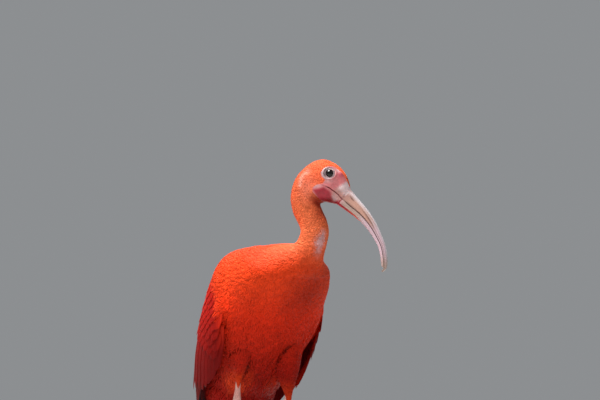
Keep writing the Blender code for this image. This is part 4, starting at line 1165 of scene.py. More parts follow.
def skin_tube(name, surface, depth, material, corner=(0.0, 0.0), size=1.0):
    """A closed tube of skin, depth under a surface, mapped into one part of the square."""
    points = surface.points - surface.normals * depth[..., None]
    rows, columns = points.shape[:2]
    u = np.linspace(0, size, columns + 1)
    v = np.linspace(0, size, rows)
    wrapped = np.concatenate([points, points[:, :1]], axis=1)
    batch = Batch()
    i, k = np.meshgrid(np.arange(rows - 1), np.arange(columns), indexing="ij")
    a = i * (columns + 1) + k
    quads = np.stack([a, a + 1, a + columns + 2, a + columns + 1], -1).reshape(-1, 4)
    first = np.arange(columns)[::-1][None]
    last = np.arange((rows - 1) * (columns + 1), rows * (columns + 1) - 1)[None]
    places = np.stack(np.broadcast_arrays(u[None, :] + corner[0], v[:, None] + corner[1]), -1)
    batch.add(wrapped, [quads, first, last], map=places)
    thing = mesh_object(name, batch, material)
    weld(thing)
    return thing


def weld(thing):
    """Closes the seam where a tube's first and last columns meet."""
    body = bmesh.new()
    body.from_mesh(thing.data)
    bmesh.ops.remove_doubles(body, verts=body.verts, dist=0.00001)
    body.to_mesh(thing.data)
    body.free()
    thing.data.shade_smooth()


# Places and size of thighs and wings in the skin's map, and how far the thighs' skin lies
# under their surface.
BODY_MAP, SMALL_MAP = 0.88, 0.08
THIGH_CORNERS = {"left": (0.9, 0.1), "right": (0.9, 0.2)}
THIGH_SINK = 1.6


def make_skin(surface, thighs, cores, material):
    """One skin from the bill's root to the tail, with thighs and folded wings joined on."""
    u = np.repeat(surface.rows[:, None], BODY_COLUMNS, axis=1)
    cover = smooth(-bareness(surface.points), -0.4, 2.2)
    depth = COAT_DEPTH.within(u) * cover * (u <= BILL_JOIN)
    skin = skin_tube("skin", surface, depth, material, size=BODY_MAP)
    refine_face(skin)
    pieces = [make_core_skin(side, core, material) for side, core in cores.items()]
    for side, thigh in thighs.items():
        sink = np.full(thigh.points.shape[:2], THIGH_SINK)
        pieces.append(skin_tube("thigh", thigh, sink, material, THIGH_CORNERS[side], SMALL_MAP))
    join(skin, pieces)
    write_values(skin.data, "tint", skin_colour(own_points(skin)))
    settle(skin, "bare_face", "torso", "neck_lower", "neck_upper", "head", "thigh_left", "thigh_right")
    return skin


# Eyes

EYE_ROWS, EYE_COLUMNS = 40, 64
PUPIL, IRIS = 2.7, 5.3
PUPIL_BLACK = np.array([0.004, 0.003, 0.003])
IRIS_BROWN = np.array([0.014, 0.007, 0.006])
EYE_RIM = np.array([0.20, 0.10, 0.09])


def make_eye(name, side, material):
    """A glossy eyeball with a dark brown iris, a black pupil and a bulging cornea."""
    polar = np.linspace(0.02, math.pi - 0.02, EYE_ROWS)[:, None]
    turn = np.arange(EYE_COLUMNS)[None] * math.tau / EYE_COLUMNS
    flat = EYE_RADIUS * np.sin(polar)
    bulge = 0.35 * (1 - smooth(flat, 0, 4.2)) * (polar < 1.5)
    across = (EYE_RADIUS - 0.12) * np.cos(polar) + bulge
    points = world(EYE_AHEAD + flat * np.cos(turn), EYE_HEIGHT + flat * np.sin(turn),
                   side * (EYE_ACROSS + across + 0 * turn), HEAD_TURN)
    reach = np.broadcast_to(flat, points.shape[:2])
    tint = mix(PUPIL_BLACK, IRIS_BROWN, smooth(reach, PUPIL, PUPIL + 0.3))
    tint = mix(tint, EYE_RIM, smooth(reach, IRIS, IRIS + 0.4))
    batch = Batch()
    batch.add(points, tube_faces(EYE_ROWS, EYE_COLUMNS), tint=tint)
    settle(mesh_object(name, batch, material), "eye", "eye_left" if side > 0 else "eye_right")


# Bill

BILL_RINGS, BILL_HALF_COLUMNS = 190, 41
MOUTH_GAP = 0.35
NASAL_WIDTH = math.radians(9)
LOWER_SHORT = 3.0
UPPER_POINT = (4.5, -2.5)
LOWER_POINT = (2.2, 0.2)
CULMEN_PALE_HIGHLIGHT = np.array([0.84, 0.74, 0.78])
SIDE_SALMON = np.array([0.62, 0.34, 0.265])
SIDE_LILAC = np.array([0.68, 0.48, 0.55])
GROOVE_BROWN = np.array([0.17, 0.075, 0.055])
MOUTH_DARK = np.array([0.09, 0.022, 0.018])
LOWER_TAN = np.array([0.60, 0.42, 0.36])
UNDER_CRIMSON = np.array([0.42, 0.016, 0.034])
UNDER_RED = np.array([0.64, 0.065, 0.04])
TIP_TAN = np.array([0.36, 0.24, 0.16])
GROOVE_START, GROOVE_TURN, GROOVE_PLACES = 50.0, 20.0, (12.0, 60.0)
GROOVE_DARK_PLACE, GROOVE_DARK_REACH = 43.0, 13.0
HORN_STEP = 33.0
NOSTRIL_PLACE = 11.0


def groove_angle(place):
    """How far round from the ridge the nasal groove lies: it sinks toward the mouth line."""
    return np.radians(GROOVE_START + GROOVE_TURN * smooth(place, *GROOVE_PLACES))


def upper_colour(place, angle):
    """Tints of the upper bill: angle is 0 on the ridge and a quarter turn at the mouth line."""
    wide = np.abs(angle) / (math.pi / 2)
    side = mix(SIDE_SALMON, SIDE_LILAC, smooth(place, 38, 62))
    # The ridge is pale, partly its own colour and partly a painted highlight; a narrow painted highlight
    # runs just above the groove toward the root.
    tint = mix(CULMEN_PALE_HIGHLIGHT, side, smooth(wide, 0.28, 0.5))
    off_groove = np.abs(angle) - groove_angle(place)
    tint = mix(tint, CULMEN_PALE_HIGHLIGHT, 0.55 * bump(off_groove + 0.19, 0.09) * (1 - smooth(place, 45, 60)))
    tint = mix(tint, SIDE_SALMON * 0.8, 0.6 * bump(off_groove, 0.06) * smooth(place, 6, 14))
    # Darker brown along the nasal groove, broadest round its middle, and a thin dark line along it toward
    # the tip.
    brown_mark = bump(off_groove, 0.15) * bump(place - GROOVE_DARK_PLACE, GROOVE_DARK_REACH)
    tint = mix(tint, GROOVE_BROWN, 0.85 * brown_mark + 0.45 * bump(off_groove, 0.08) * smooth(place, 50, 70))
    root = mix(BASE_PINK, BASE_SALMON, smooth(wide, 0.3, 0.75))
    tint = mix(tint, root, 1 - smooth(place, 1, 13))
    edge = smooth(wide, 0.93, 0.99) * smooth(place, 2, 12)
    tint = mix(tint, MOUTH_DARK, edge * 0.92)
    return mix(tint, TIP_TAN, smooth(place, BILL_END - 22, BILL_END) * 0.75)


def lower_colour(place, angle):
    """Tints of the lower bill: red skin under its root, then a pale horn edge."""
    wide = np.abs(angle) / (math.pi / 2)
    red = mix(UNDER_CRIMSON, UNDER_RED, smooth(place, 10, 26))
    reach = np.interp(place, [0, 20, HORN_STEP - 2, HORN_STEP + 4, 80], [0.60, 0.58, 0.44, 0.20, 0.10])
    horn = mix(LOWER_TAN, SIDE_LILAC, smooth(place, 26, 44))
    horn = mix(horn, JAW_PALE, 1 - smooth(place, 2, 10))
    streaks = np.clip(np.sin(wide * 46 + 0.6 * np.sin(place * 0.3)), 0, 1) ** 2 * bump(wide - 0.74, 0.17)
    horn = mix(horn, GROOVE_BROWN, 0.6 * streaks * smooth(place, 1, 6) * (1 - smooth(place, 26, 36)))
    tint = mix(red, horn, smooth(wide, reach - 0.05, reach + 0.06))
    tint = mix(tint, SIDE_LILAC, smooth(place, 70, 92))
    edge = smooth(wide, 0.93, 0.99) * smooth(place, 2, 12)
    tint = mix(tint, MOUTH_DARK, edge * 0.92)
    return mix(tint, TIP_TAN, smooth(place, BILL_END - 24, BILL_END - 2) * 0.7)


def mandible(name, upper, material, node):
    """One half of the bill: a curved horn with grooves, streaks and a flat bite."""
    end = BILL_END if upper else BILL_END - LOWER_SHORT
    place = np.linspace(0.3, end, BILL_RINGS)[:, None]
    angle = (np.linspace(-1, 1, BILL_HALF_COLUMNS) * math.pi / 2)[None]
    mouth, up, _, above, below, width = (x[:, None] for x in bill_frame(place[:, 0]))
    way = 1 if upper else -1
    height = (above if upper else below) - MOUTH_GAP / 2
    if upper:
        off_groove = np.abs(angle) - groove_angle(place)
        ridge = 0.16 * (1 - smooth(place, 45, 75))
        cut = 0.42 * bump(off_groove, NASAL_WIDTH) - ridge * bump(off_groove + 0.32, NASAL_WIDTH)
        cut = cut + 1.2 * bump(place - NOSTRIL_PLACE, 4.4) * bump(np.degrees(off_groove), 4.5)
        tint = upper_colour(place, angle)
    else:
        cut = 0.25 * bump(np.abs(angle) - 1.13, 0.13) + 0.12 * bump(np.abs(angle) - 0.85, 0.07)
        cut = cut - 0.3 * bump(place - HORN_STEP + 2.5, 2.6) * bump(angle, 0.9)
        tint = lower_colour(place, angle)
    growth = 0.02 * np.sin(place * 2.3 + 1.5 * np.sin(place * 0.31)) * (1 - smooth(place, 25, 70))
    bulge = 1.0 - (cut - growth) * smooth(place, 4, 12) / width
    across = power(np.sin(angle), BILL_SQUARE) * width * bulge
    rise = power(np.cos(angle), BILL_SQUARE) * height * bulge + MOUTH_GAP / 2
    point = mouth + up * (rise * way)[..., None]
    points = world(point[..., 0], point[..., 1], across * way, HEAD_TURN)
    if upper:
        slit = bump(place - NOSTRIL_PLACE, 3.6) * bump(np.degrees(off_groove), 3.0)
        tint = mix(tint, MOUTH_DARK, 0.85 * slit)
    grain = np.stack(np.broadcast_arrays(angle * 7.0, place * 0.09, 3.0 * way), -1)
    add_horn(name, upper, end, points, tint, grain, material, node)


def add_horn(name, upper, end, points, tint, grain, material, node):
    """Closes a mandible at its root and its point, and makes the mesh."""
    mouth, up, forward = bill_frame(np.array(end))[:3]
    ahead, rise = UPPER_POINT if upper else LOWER_POINT
    point = mouth + forward * ahead + up * (rise + MOUTH_GAP * (1 if upper else -1))
    tip = world(point[0], point[1], 0, HEAD_TURN)
    shares = np.array([0.3, 0.55, 0.75, 0.9])
    rounding = np.sqrt(1 - shares**2)
    middle = points[-1].mean(axis=0)
    shrunk = (points[-1][None] - middle) * rounding[:, None, None]
    extra = middle + shrunk + (tip - middle) * shares[:, None, None]
    whole = np.concatenate([points, extra])
    grown = np.concatenate([tint, np.repeat(tint[-1:], len(shares), axis=0)])
    grains = np.concatenate([grain, np.repeat(grain[-1:], len(shares), axis=0)])
    batch = Batch()
    batch.add(whole, tube_faces(*whole.shape[:2]), tint=grown, grain=grains)
    settle(mesh_object(name, batch, material), "bill_horn", node)


# Swept parts: thighs, legs, toes and claws

LEGS = {
    "left": {"top": (27, 0, 190), "cuff": (30, 5, 103), "ankle": (28.5, -3, 84), "foot": (28, 24, 11)},
    "right": {"top": (-31, -3, 190), "cuff": (-33, -5, 124), "ankle": (-31, -14, 93), "foot": (-29, -2, 11)},
}
THIGH_ROWS = [
    (0, 20, 24),
    (0.3, 21, 25),
    (0.55, 17.5, 21),
    (0.75, 13.5, 15.5),
    (0.9, 8.8, 9.8),
    (1, 5.7, 6.0),
    (1.1, 4.3, 4.5),
]
# How far the thigh's feathers run down past the solid's cuff.
CUFF_REACH = 6.0
GLOW_REACH, GLOW_RISE = 12.5, (0.0, 38.0)
SHIN_ROWS = [(-0.5, 3.0, 3.0), (0, 3.2, 3.2), (0.55, 3.3, 3.3), (0.78, 4.1, 4.4), (1, 4.7, 5.3)]
TARSUS_ROWS = [
    (0.075, 4.2, 4.7),
    (0.16, 3.2, 3.5),
    (0.4, 3.1, 3.3),
    (0.65, 2.9, 3.1),
    (0.86, 3.1, 3.3),
    (0.95, 3.9, 4.1),
    (1, 4.3, 4.5),
]
STEEP = 0.8


def leg_point(place):
    """A point from (left, forward, up)."""
    return np.array([place[0], -place[1], place[2]], float)


def sweep_rings(path, across, deep, count, turn=3):
    """Oval rings along a smooth path: points (rings, count, 3)."""
    ahead = path[np.minimum(np.arange(len(path)) + turn, len(path) - 1)]
    ahead = ahead - path[np.maximum(np.arange(len(path)) - turn, 0)]
    ahead /= np.linalg.norm(ahead, axis=1, keepdims=True)
    steep = abs(ahead[len(ahead) // 2, 2]) > STEEP
    beside = np.cross(ahead, (0, 1, 0) if steep else (0, 0, 1))
    beside /= np.linalg.norm(beside, axis=1, keepdims=True)
    high = np.cross(beside, ahead)
    angle = np.arange(count)[None, :, None] * math.tau / count
    return (path[:, None] + beside[:, None] * across[:, None, None] * np.cos(angle)
            + high[:, None] * deep[:, None, None] * np.sin(angle))


THIGH_RINGS, THIGH_COLUMNS = 60, 72


def thigh_surface(side):
    """The feathered thigh from inside the belly to its cuff."""
    leg = LEGS[side]
    top, cuff = leg_point(leg["top"]), leg_point(leg["cuff"])
    length = np.linalg.norm(cuff - top)
    share = np.linspace(0, 1 + CUFF_REACH / length, THIGH_RINGS)
    sizes = Track(THIGH_ROWS).at(share)
    path = top + (cuff - top) * share[:, None]
    points = sweep_rings(path, sizes[:, 0], sizes[:, 1], THIGH_COLUMNS)
    return Surface(share * length, points, True, path)


# The thigh's feathers: share of the way down, length, half width, spacing.
THIGH_COAT_ROWS = [(0, 17, 4.6, 4.4), (0.5, 15, 4.0, 3.9), (0.8, 10, 2.4, 2.6), (1, 7.5, 1.4, 1.6)]


def make_thigh_coat(side, surface, body_tree, material):
    """Feathers down one thigh, finer towards the ragged cuff."""
    end = surface.rows[-1]
    size = Track([(end * row[0], *row[1:]) for row in THIGH_COAT_ROWS])

    def spacing(u, v):
        return size.at(u)[..., 2]

    u, v = scatter(surface, spacing, lambda u, v: np.ones(u.shape), 40)
    u = np.clip(u, 0, end)
    kept = np.array([outside(body_tree, point) for point in surface.at(u, v)])
    u, v = u[kept], v[kept]
    sizes, low_down = size.at(u), smooth(u / end, 0.82, 1.0)
    high = -0.1 - 1.3 * low_down
    lay_feathers("coat_thigh_" + side, surface, u, v, 1, sizes[:, 0] + 3 * low_down, sizes[:, 1], 6, -1.9,
                 high, material, 41, "scarlet_feathers", spread=0.14)


def outside(tree, point, margin=6.0):
    """Whether a point is no deeper than the margin inside the body."""
    place, normal, _, distance = tree.find_nearest(Vector(point))
    return (Vector(point) - place).dot(normal) > 0 or distance < margin


LEG_COLUMNS = 60
LEG_STEP = 0.4
SCUTE_ROUND, SCUTE_ALONG = 8, 2.3
SCUTE_GROOVE = 0.16
LEG_PINK = np.array([0.74, 0.36, 0.31])
LEG_PALE = np.array([0.80, 0.50, 0.44])
LEG_GROOVE = np.array([0.40, 0.12, 0.10])


def scutes(around, along):
    """0 on a scale, 1 in the grooves between six-sided scales; both in scale widths."""
    nearest = []
    for row in (-1, 0, 1):
        line = np.floor(along) + row
        shift = 0.5 * (line % 2)
        for column in (-1, 0, 1):
            middle = np.floor(around - shift) + column + 0.5 + shift
            nearest.append(np.hypot(around - middle, (along - line - 0.5) * 0.95))
    nearest = np.sort(np.array(nearest), axis=0)
    return 1 - smooth((nearest[1] - nearest[0]) / 2, 0.02, 0.13)


def pressed_in(points, path, depth):
    """A swept part's points, moved toward its path by depth."""
    outward = points - path[:, None]
    outward /= np.linalg.norm(outward, axis=2, keepdims=True)
    return points - outward * depth[..., None]


def leg_tint(groove, shade):
    """Pink to pale skin, darker in the grooves."""
    return mix(mix(LEG_PINK, LEG_PALE, shade), LEG_GROOVE, groove * 0.45)


def make_leg(side, material):
    """Bare shin, swollen ankle and tarsus with six-sided scales, from the cuff to the foot."""
    leg = LEGS[side]
    cuff, ankle, foot = (leg_point(leg[name]) for name in ("cuff", "ankle", "foot"))
    shin, tarsus = np.linalg.norm(ankle - cuff), np.linalg.norm(foot - ankle)
    rows = [(row[0] * shin, *row[1:]) for row in SHIN_ROWS]
    rows += [(shin + row[0] * tarsus, *row[1:]) for row in TARSUS_ROWS]
    place = np.arange(rows[0][0], shin + tarsus, LEG_STEP)
    path = np.where((place < shin)[:, None], cuff + (ankle - cuff) * (place / shin)[:, None],
                    ankle + (foot - ankle) * ((place - shin) / tarsus)[:, None])
    path[:, 2] = np.maximum(path[:, 2], foot[2] - 3)
    sizes = Track(rows).at(place)
    points = sweep_rings(path, sizes[:, 0], sizes[:, 1], LEG_COLUMNS, turn=6)
    around = np.arange(LEG_COLUMNS)[None] / LEG_COLUMNS * SCUTE_ROUND
    groove = scutes(around, place[:, None] / SCUTE_ALONG)
    points = pressed_in(points, path, groove * SCUTE_GROOVE)
    shade = smooth(np.broadcast_to(np.sin(place * 0.21)[:, None], groove.shape), -1, 1)
    batch = Batch()
    batch.add(points, tube_faces(len(points), LEG_COLUMNS), tint=leg_tint(groove, shade))
    return mesh_object("leg_skin_" + side, batch, material)


# Toes: bearing from straight ahead in degrees, length, joints.
TOES = {
    "inner": (-27, 46, 2),
    "middle": (2, 58, 3),
    "outer": (30, 50, 3),
    "hind": (176, 25, 1),
}
TOE_HEIGHT = 2.4
TOE_RADII = (3.5, 2.2)
TOE_SWELL = 0.32
TOE_LIFT = 3.0
TOE_COLUMNS = 36
TOE_STEP = 0.5
TOE_SCUTE = 2.3
CLAW_LENGTH = 7.5
CLAW_RADIUS = 1.85
CLAW_ARCH = 0.5
CLAW_COLUMNS = 20
CLAW_BROWN = np.array([0.12, 0.07, 0.055])
CLAW_BLACK = np.array([0.035, 0.022, 0.02])
TOE_GROOVE = 0.14
WEB_THICK = 1.2
WEB_LIFT = 0.9
WEB_REACH = 17.0
WEB_HOLLOW = 5.5


def toe_way(side, name):
    """The direction of a toe."""
    outward = 1 if side == "left" else -1
    bearing = math.radians(TOES[name][0]) * outward
    return np.array([math.sin(bearing), -math.cos(bearing), 0.0])


def toe_start(side):
    """Where the toes of one foot meet, at the height of their middle lines."""
    hub = leg_point(LEGS[side]["foot"])
    return np.array([hub[0], hub[1], TOE_HEIGHT])


def make_toe(side, name, material):
    """A toe with broad scutes on top, pads that swell at each joint, and a flat sole."""
    way, start = toe_way(side, name), toe_start(side)
    joints, length = TOES[name][2], TOES[name][1]
    share = np.arange(0, length, TOE_STEP) / length
    swell = TOE_SWELL * np.cos(math.tau * share * (joints + 0.5))
    radius = TOE_RADII[0] + (TOE_RADII[1] - TOE_RADII[0]) * share + swell
    lift = TOE_LIFT * (1 - share) ** 3
    path = start + (way * length) * share[:, None] + np.array([0, 0, 1]) * lift[:, None]
    radius = radius * np.where(share > 0.97, 0.93, 1.0)
    points = sweep_rings(path, radius, radius + lift * 0.4, TOE_COLUMNS, turn=2)
    angle = np.arange(TOE_COLUMNS)[None] * math.tau / TOE_COLUMNS
    top = smooth(np.sin(angle), 0.0, 0.35)
    line = 1 - smooth(np.abs((share[:, None] * length / TOE_SCUTE) % 1 - 0.5) * -1 + 0.5, 0.02, 0.14)
    fine = scutes(angle / math.tau * 14, share[:, None] * length / 1.4)
    groove = top * line + (1 - top) * fine * 0.7
    points = pressed_in(points, path, groove * TOE_GROOVE)
    points[..., 2] = np.maximum(points[..., 2], 0.0)
    batch = Batch()
    batch.add(points, tube_faces(len(points), TOE_COLUMNS), tint=leg_tint(groove, 0.4 + 0 * groove))
    return mesh_object("toe", batch, material)


def make_web(side, first, second, material):
    """The skin between two toes near their roots, with a hollow front edge."""
    start, way_a, way_b = toe_start(side), toe_way(side, first), toe_way(side, second)
    rows, columns = 14, 15
    reach, turn = np.meshgrid(np.linspace(0, 1, rows), np.linspace(0, 1, columns), indexing="ij")
    out = WEB_REACH - 4 * (WEB_HOLLOW - 1.5) * turn * (1 - turn)
    way = way_a * (1 - turn[..., None]) + way_b * turn[..., None]
    way /= np.linalg.norm(way, axis=2, keepdims=True)
    flat = start + way * (reach * out - 1.5)[..., None]
    sag = 0.5 * np.sin(math.pi * turn) * reach
    wave = 0.08 * np.sin(turn * 40) * reach
    upper, lower = flat.copy(), flat.copy()
    upper[..., 2] = WEB_LIFT + WEB_THICK * (1 - 0.45 * reach) + wave - sag * 0.3
    lower[..., 2] = WEB_LIFT - sag * 0.5
    batch = Batch()
    tint = np.broadcast_to(LEG_PINK, (2, rows, columns, 3))
    batch.add(np.stack([lower, upper]), sheet_shell(rows, columns), tint=tint)
    return mesh_object("web", batch, material)


def sheet_shell(rows, columns):
    """Faces of a closed plate between a lower and an upper grid."""
    i, k = np.meshgrid(np.arange(rows - 1), np.arange(columns - 1), indexing="ij")
    a = (i * columns + k).ravel()
    cell = np.stack([a, a + 1, a + columns + 1, a + columns], 1)
    size = rows * columns
    rim = list(range(columns)) + [n * columns + columns - 1 for n in range(1, rows)]
    rim += [(rows - 1) * columns + n for n in range(columns - 2, -1, -1)]
    rim += [n * columns for n in range(rows - 2, 0, -1)]
    rim = np.array(rim)
    after = np.roll(rim, -1)
    return [cell[:, ::-1], cell + size, np.stack([rim, after, after + size, rim + size], 1)]


def make_foot(side, leg, material):
    """Joins the leg to a hub on the floor, four toes and two webs."""
    hub = leg_point(LEGS[side]["foot"])
    heights = np.linspace(hub[2] + 1, 0.0, 24)
    share = (hub[2] - heights) / hub[2]
    path = np.stack([np.full(24, hub[0]), np.full(24, hub[1]), heights], 1)
    width = 4.2 + 0.8 * np.sin(np.clip(share, 0, 1) * 2.4)
    points = sweep_rings(path, width, width * 1.06, LEG_COLUMNS)
    batch = Batch()
    groove = scutes(np.arange(LEG_COLUMNS)[None] / LEG_COLUMNS * 10, heights[:, None] / SCUTE_ALONG)
    batch.add(points, tube_faces(len(points), LEG_COLUMNS), tint=leg_tint(groove, 0.4 + 0 * groove))
    pieces = [mesh_object("hub", batch, material)] + [make_toe(side, name, material) for name in TOES]
    pieces += [make_web(side, "inner", "middle", material), make_web(side, "middle", "outer", material)]
    join(leg, pieces)
    settle(leg, "leg_skin", "leg_" + side, "foot_" + side)


def make_claw(side, name, material):
    """A curved, tapering claw from the toe's end down to the floor."""
    way = toe_way(side, name)
    base = toe_start(side) + way * TOES[name][1]
    share = np.linspace(-0.12, 0.98, 22)
    outer = np.clip(share, 0, 1)
    arch = CLAW_ARCH * np.sin(math.pi * outer) - (TOE_HEIGHT - 0.35) * outer**3
    path = base + way * CLAW_LENGTH * share[:, None] + np.array([0, 0, 1]) * arch[:, None]
    radius = CLAW_RADIUS * (1 - outer) ** 0.6 + 0.08
    points = sweep_rings(path, radius * 0.82, radius, CLAW_COLUMNS, turn=1)
    points[..., 2] = np.maximum(points[..., 2], 0.0)
    tint = mix(CLAW_BROWN, CLAW_BLACK, smooth(share, 0, 0.5))
    batch = Batch()
    tint = np.repeat(tint[:, None], CLAW_COLUMNS, axis=1)
    batch.add(points, tube_faces(len(points), CLAW_COLUMNS), tint=tint)
    settle(mesh_object(f"talon_{name}_{side}", batch, material), "claw_horn", f"claw_{name}_{side}")


# Wings

# Where the small coverts begin past the wing's front edge: near the back, on the flank.
COVERT_START = (5.0, -3.0)
# A sheet that lies on the trunk and hangs free past it: place along the trunk's axis, depth
# to the back, depth to the belly, half width, squareness.
WING_SHELL_ROWS = [
    (-215, 30, 14, 26, 2.1),
    (-185, 36, 19, 36, 2.2),
    (-155, 43, 26, 47, 2.3),
    (-130, 46.5, 32, 55, 2.4),
    (-105, 49, 38, 60.5, 2.4),
    (-80, 51, 41, 65, 2.5),
    (-55, 51.5, 43, 67.5, 2.6),
    (-28, 51, 44.5, 68, 2.8),
    (0, 50, 47.5, 67.5, 2.9),
    (25, 46.5, 51.5, 67, 2.8),
    (50, 36.5, 58.5, 62.5, 2.7),
    (70, 22.5, 64.5, 53.5, 2.6),
    (86, 10, 66, 44, 2.5),
]
WING_SHELL = Track(WING_SHELL_ROWS)
WING_TOP = 80.0
WING_ARC = 190.0
WING_STEP = 2.5
# The wing's front edge: distance round from the back, distance down the wing.
WING_FRONT_ROWS = [
    (16, 4),
    (30, 0),
    (45, 6),
    (60, 17),
    (75, 29),
    (90, 42),
    (104, 53),
    (116, 66),
    (124, 82),
    (130, 96),
]
WING_FRONT = Track(WING_FRONT_ROWS)
# The flesh of the folded wing: its span round the body, its end, its height at places down
# the wing and at its edges, and the swell at the bend of the wing.
CORE_ARCS = (12.0, 124.0)
CORE_END = 114.0
CORE_CORNERS = {"left": (0.9, 0.4), "right": (0.9, 0.5)}
CORE_HEIGHT = Track([(0, 2.6), (14, 4.6), (36, 4.9), (62, 4.6), (88, 4.0), (104, 3.4), (116, 2.4)])
CORE_START = -2.8
CORE_RAMPS = (0.34, 0.14)
SHOULDER_RISE, SHOULDER_FRONT = 4.6, 26.0
SHOULDER_DOWN, SHOULDER_ARC = (34.0, 27.0), (50.0, 30.0)


def wing_surface(side):
    """The sheet of one wing: u is the distance down it, v the share of WING_ARC round from the back."""
    downs = np.arange(-6, 296, WING_STEP)
    arcs_wanted = np.arange(0, WING_ARC + WING_STEP, WING_STEP)
    angles = np.linspace(0, math.pi, 361)
    rings, centres = [], []
    for down in downs:
        back, belly, width, square = WING_SHELL.at(WING_TOP - down)
        across = power(np.sin(angles), square) * width
        rise = power(np.cos(angles), square) * (back + belly) / 2
        arcs = np.concatenate([[0], np.cumsum(np.hypot(np.diff(across), np.diff(rise)))])
        middle = TRUNK_MIDDLE + TRUNK_ALONG * (WING_TOP - down) + TRUNK_DOWN * (belly - back) / 2
        aside, up = np.interp(arcs_wanted, arcs, across), np.interp(arcs_wanted, arcs, rise)
        place = middle - TRUNK_DOWN * up[:, None]
        rings.append(np.stack([aside, -place[:, 0], place[:, 1]], 1))
        centres.append([0, -middle[0], middle[1]])
    mirror = np.array([1 if side == "left" else -1, 1, 1])
    return Surface(downs, np.array(rings) * mirror, False, np.array(centres))


def shoulder_rise(down, arc):
    """How far the bend of the wing swells beyond the rest of it."""
    swell = bump(down - SHOULDER_DOWN[0], SHOULDER_DOWN[1]) * bump(arc - SHOULDER_ARC[0], SHOULDER_ARC[1])
    return SHOULDER_RISE * swell * smooth(past_front(down, arc), 0, SHOULDER_FRONT)


def core_height(down, arc):
    """How far the folded wing's flesh stands over the sheet."""
    front = WING_FRONT.within(arc)
    share = (down - front) / (CORE_END - front)
    edge = np.minimum(arc - CORE_ARCS[0], CORE_ARCS[1] - arc) / 12
    ramp = np.clip(np.minimum(np.minimum(share / CORE_RAMPS[0], (1 - share) / CORE_RAMPS[1]), edge), 0, 1)
    height = CORE_START + (CORE_HEIGHT.within(down) - CORE_START) * np.sin(math.pi / 2 * ramp)
    return height + shoulder_rise(down, arc)


def make_core_skin(name, surface, material):
    """The flesh of one folded wing, sunk into the trunk's skin."""
    rows, columns = 40, 44
    share, arc = np.meshgrid(np.linspace(0, 1, rows), np.linspace(*CORE_ARCS, columns), indexing="ij")
    front = WING_FRONT.within(arc)
    down = front + (CORE_END - front) * share
    upper = surface.at(down, arc / WING_ARC, core_height(down, arc) - 0.3)
    lower = surface.at(down, arc / WING_ARC, -7.0)
    batch = Batch()
    places = np.stack([share, arc / WING_ARC], -1) * SMALL_MAP + CORE_CORNERS[name]
    batch.add(np.stack([lower, upper]), sheet_shell(rows, columns), map=places[None] * np.ones((2, 1, 1, 1)))
    return mesh_object("core_" + name, batch, material)


# Vanes: columns across, and the widths of coverts and of flight feathers along them.
VANE_COLUMNS = np.array([-1, -0.7, -0.36, -0.09, 0, 0.09, 0.36, 0.7, 1])
COVERT_WIDTH = Track([(0, 0.5), (0.3, 0.9), (0.6, 1.0), (0.85, 0.82), (1, 0.28)])
FLIGHT_WIDTH = Track([(0, 0.5), (0.25, 0.88), (0.65, 1.0), (0.88, 0.8), (1, 0.22)])
BARB_STEP = 0.75
VANE_THICK = 0.28


def add_vane(batch, place, root, tip, widths, half, chance, cell, colour, tilt=0.0, bow=0.0, rows=15,
             camber=0.5, tips=None):
    """One large feather: shaft, two webs of barbs and a rounded tip. root and tip are (down, round, out)."""
    root, tip = np.array(root, float), np.array(tip, float)
    share = 1 - (1 - np.linspace(0, 1, rows)) ** 1.35
    run = (tip - root)[:2]
    length = np.linalg.norm(run)
    beside = np.array([-run[1], run[0]]) / length
    ragged = 1 + chance.normal(0, 0.022, (rows, 2))
    width = half * widths.at(share)[:, 0]
    width[share > 0.9] *= np.sqrt(np.maximum(1 - ((share[share > 0.9] - 0.9) / 0.125) ** 2, 0.05))
    edge = np.where(VANE_COLUMNS < 0, ragged[:, :1], ragged[:, 1:]) * VANE_COLUMNS
    centre = root + (tip - root) * share[:, None]
    centre[:, :2] += np.outer(np.sin(math.pi * share) * bow, beside)
    offset = (edge * width[:, None])[..., None] * beside
    down = centre[:, None, 0] + offset[..., 0] - 0.22 * np.abs(edge) * width[:, None] * (run[0] / length)
    arc = centre[:, None, 1] + offset[..., 1] - 0.22 * np.abs(edge) * width[:, None] * (run[1] / length)
    shaft = bump(VANE_COLUMNS, 0.07) * (0.3 - 0.22 * share[:, None])
    body = VANE_THICK * (1 - 0.45 * share[:, None]) * (1 - 0.55 * np.abs(VANE_COLUMNS))
    out = centre[:, None, 2] + tilt * offset[..., 1] - camber * VANE_COLUMNS**2 * width[:, None] / 10
    upper, lower = place(down, arc, out + body + shaft), place(down, arc, out)
    barbs = (share[:, None] * length + np.abs(edge) * width[:, None] * 0.9) * math.tau / BARB_STEP
    tint = colour(upper) * chance.normal(1, 0.045) * (0.86 + 0.2 * share[:, None, None])
    tint = tint * (1 - 0.25 * bump(VANE_COLUMNS, 0.06))[None, :, None]
    if tips is not None:
        black = smooth(share[:, None] * length + 3 * np.abs(edge), length - tips, length - tips + 7)
        tint = mix(tint, TIP_BLACK, black * 0.97)
    column, row, size = cell
    maps = np.stack(np.broadcast_arrays(0.5 + 0.45 * VANE_COLUMNS, 0.04 + 0.92 * share[:, None]), -1)
    maps = (maps + np.array([column, row])) / size
    # Undersides of coverts and secondaries are paler scarlet, as a real underwing is, and brightened further
    # as painted light against their shade.
    below = mix(tint, UNDERSIDE_LIT_SCARLET, 0.75) if tips is None else tint
    batch.add(np.stack([lower, upper]), sheet_shell(rows, len(VANE_COLUMNS)), tint=np.stack([below, tint]),
              map=np.stack([maps, maps]), barb=np.stack([barbs, barbs])[..., None])


def cells(count):
    """Squares of a map, one for each of many feathers."""
    size = math.ceil(math.sqrt(count))
    return [(k % size, k // size, size) for k in range(count)]


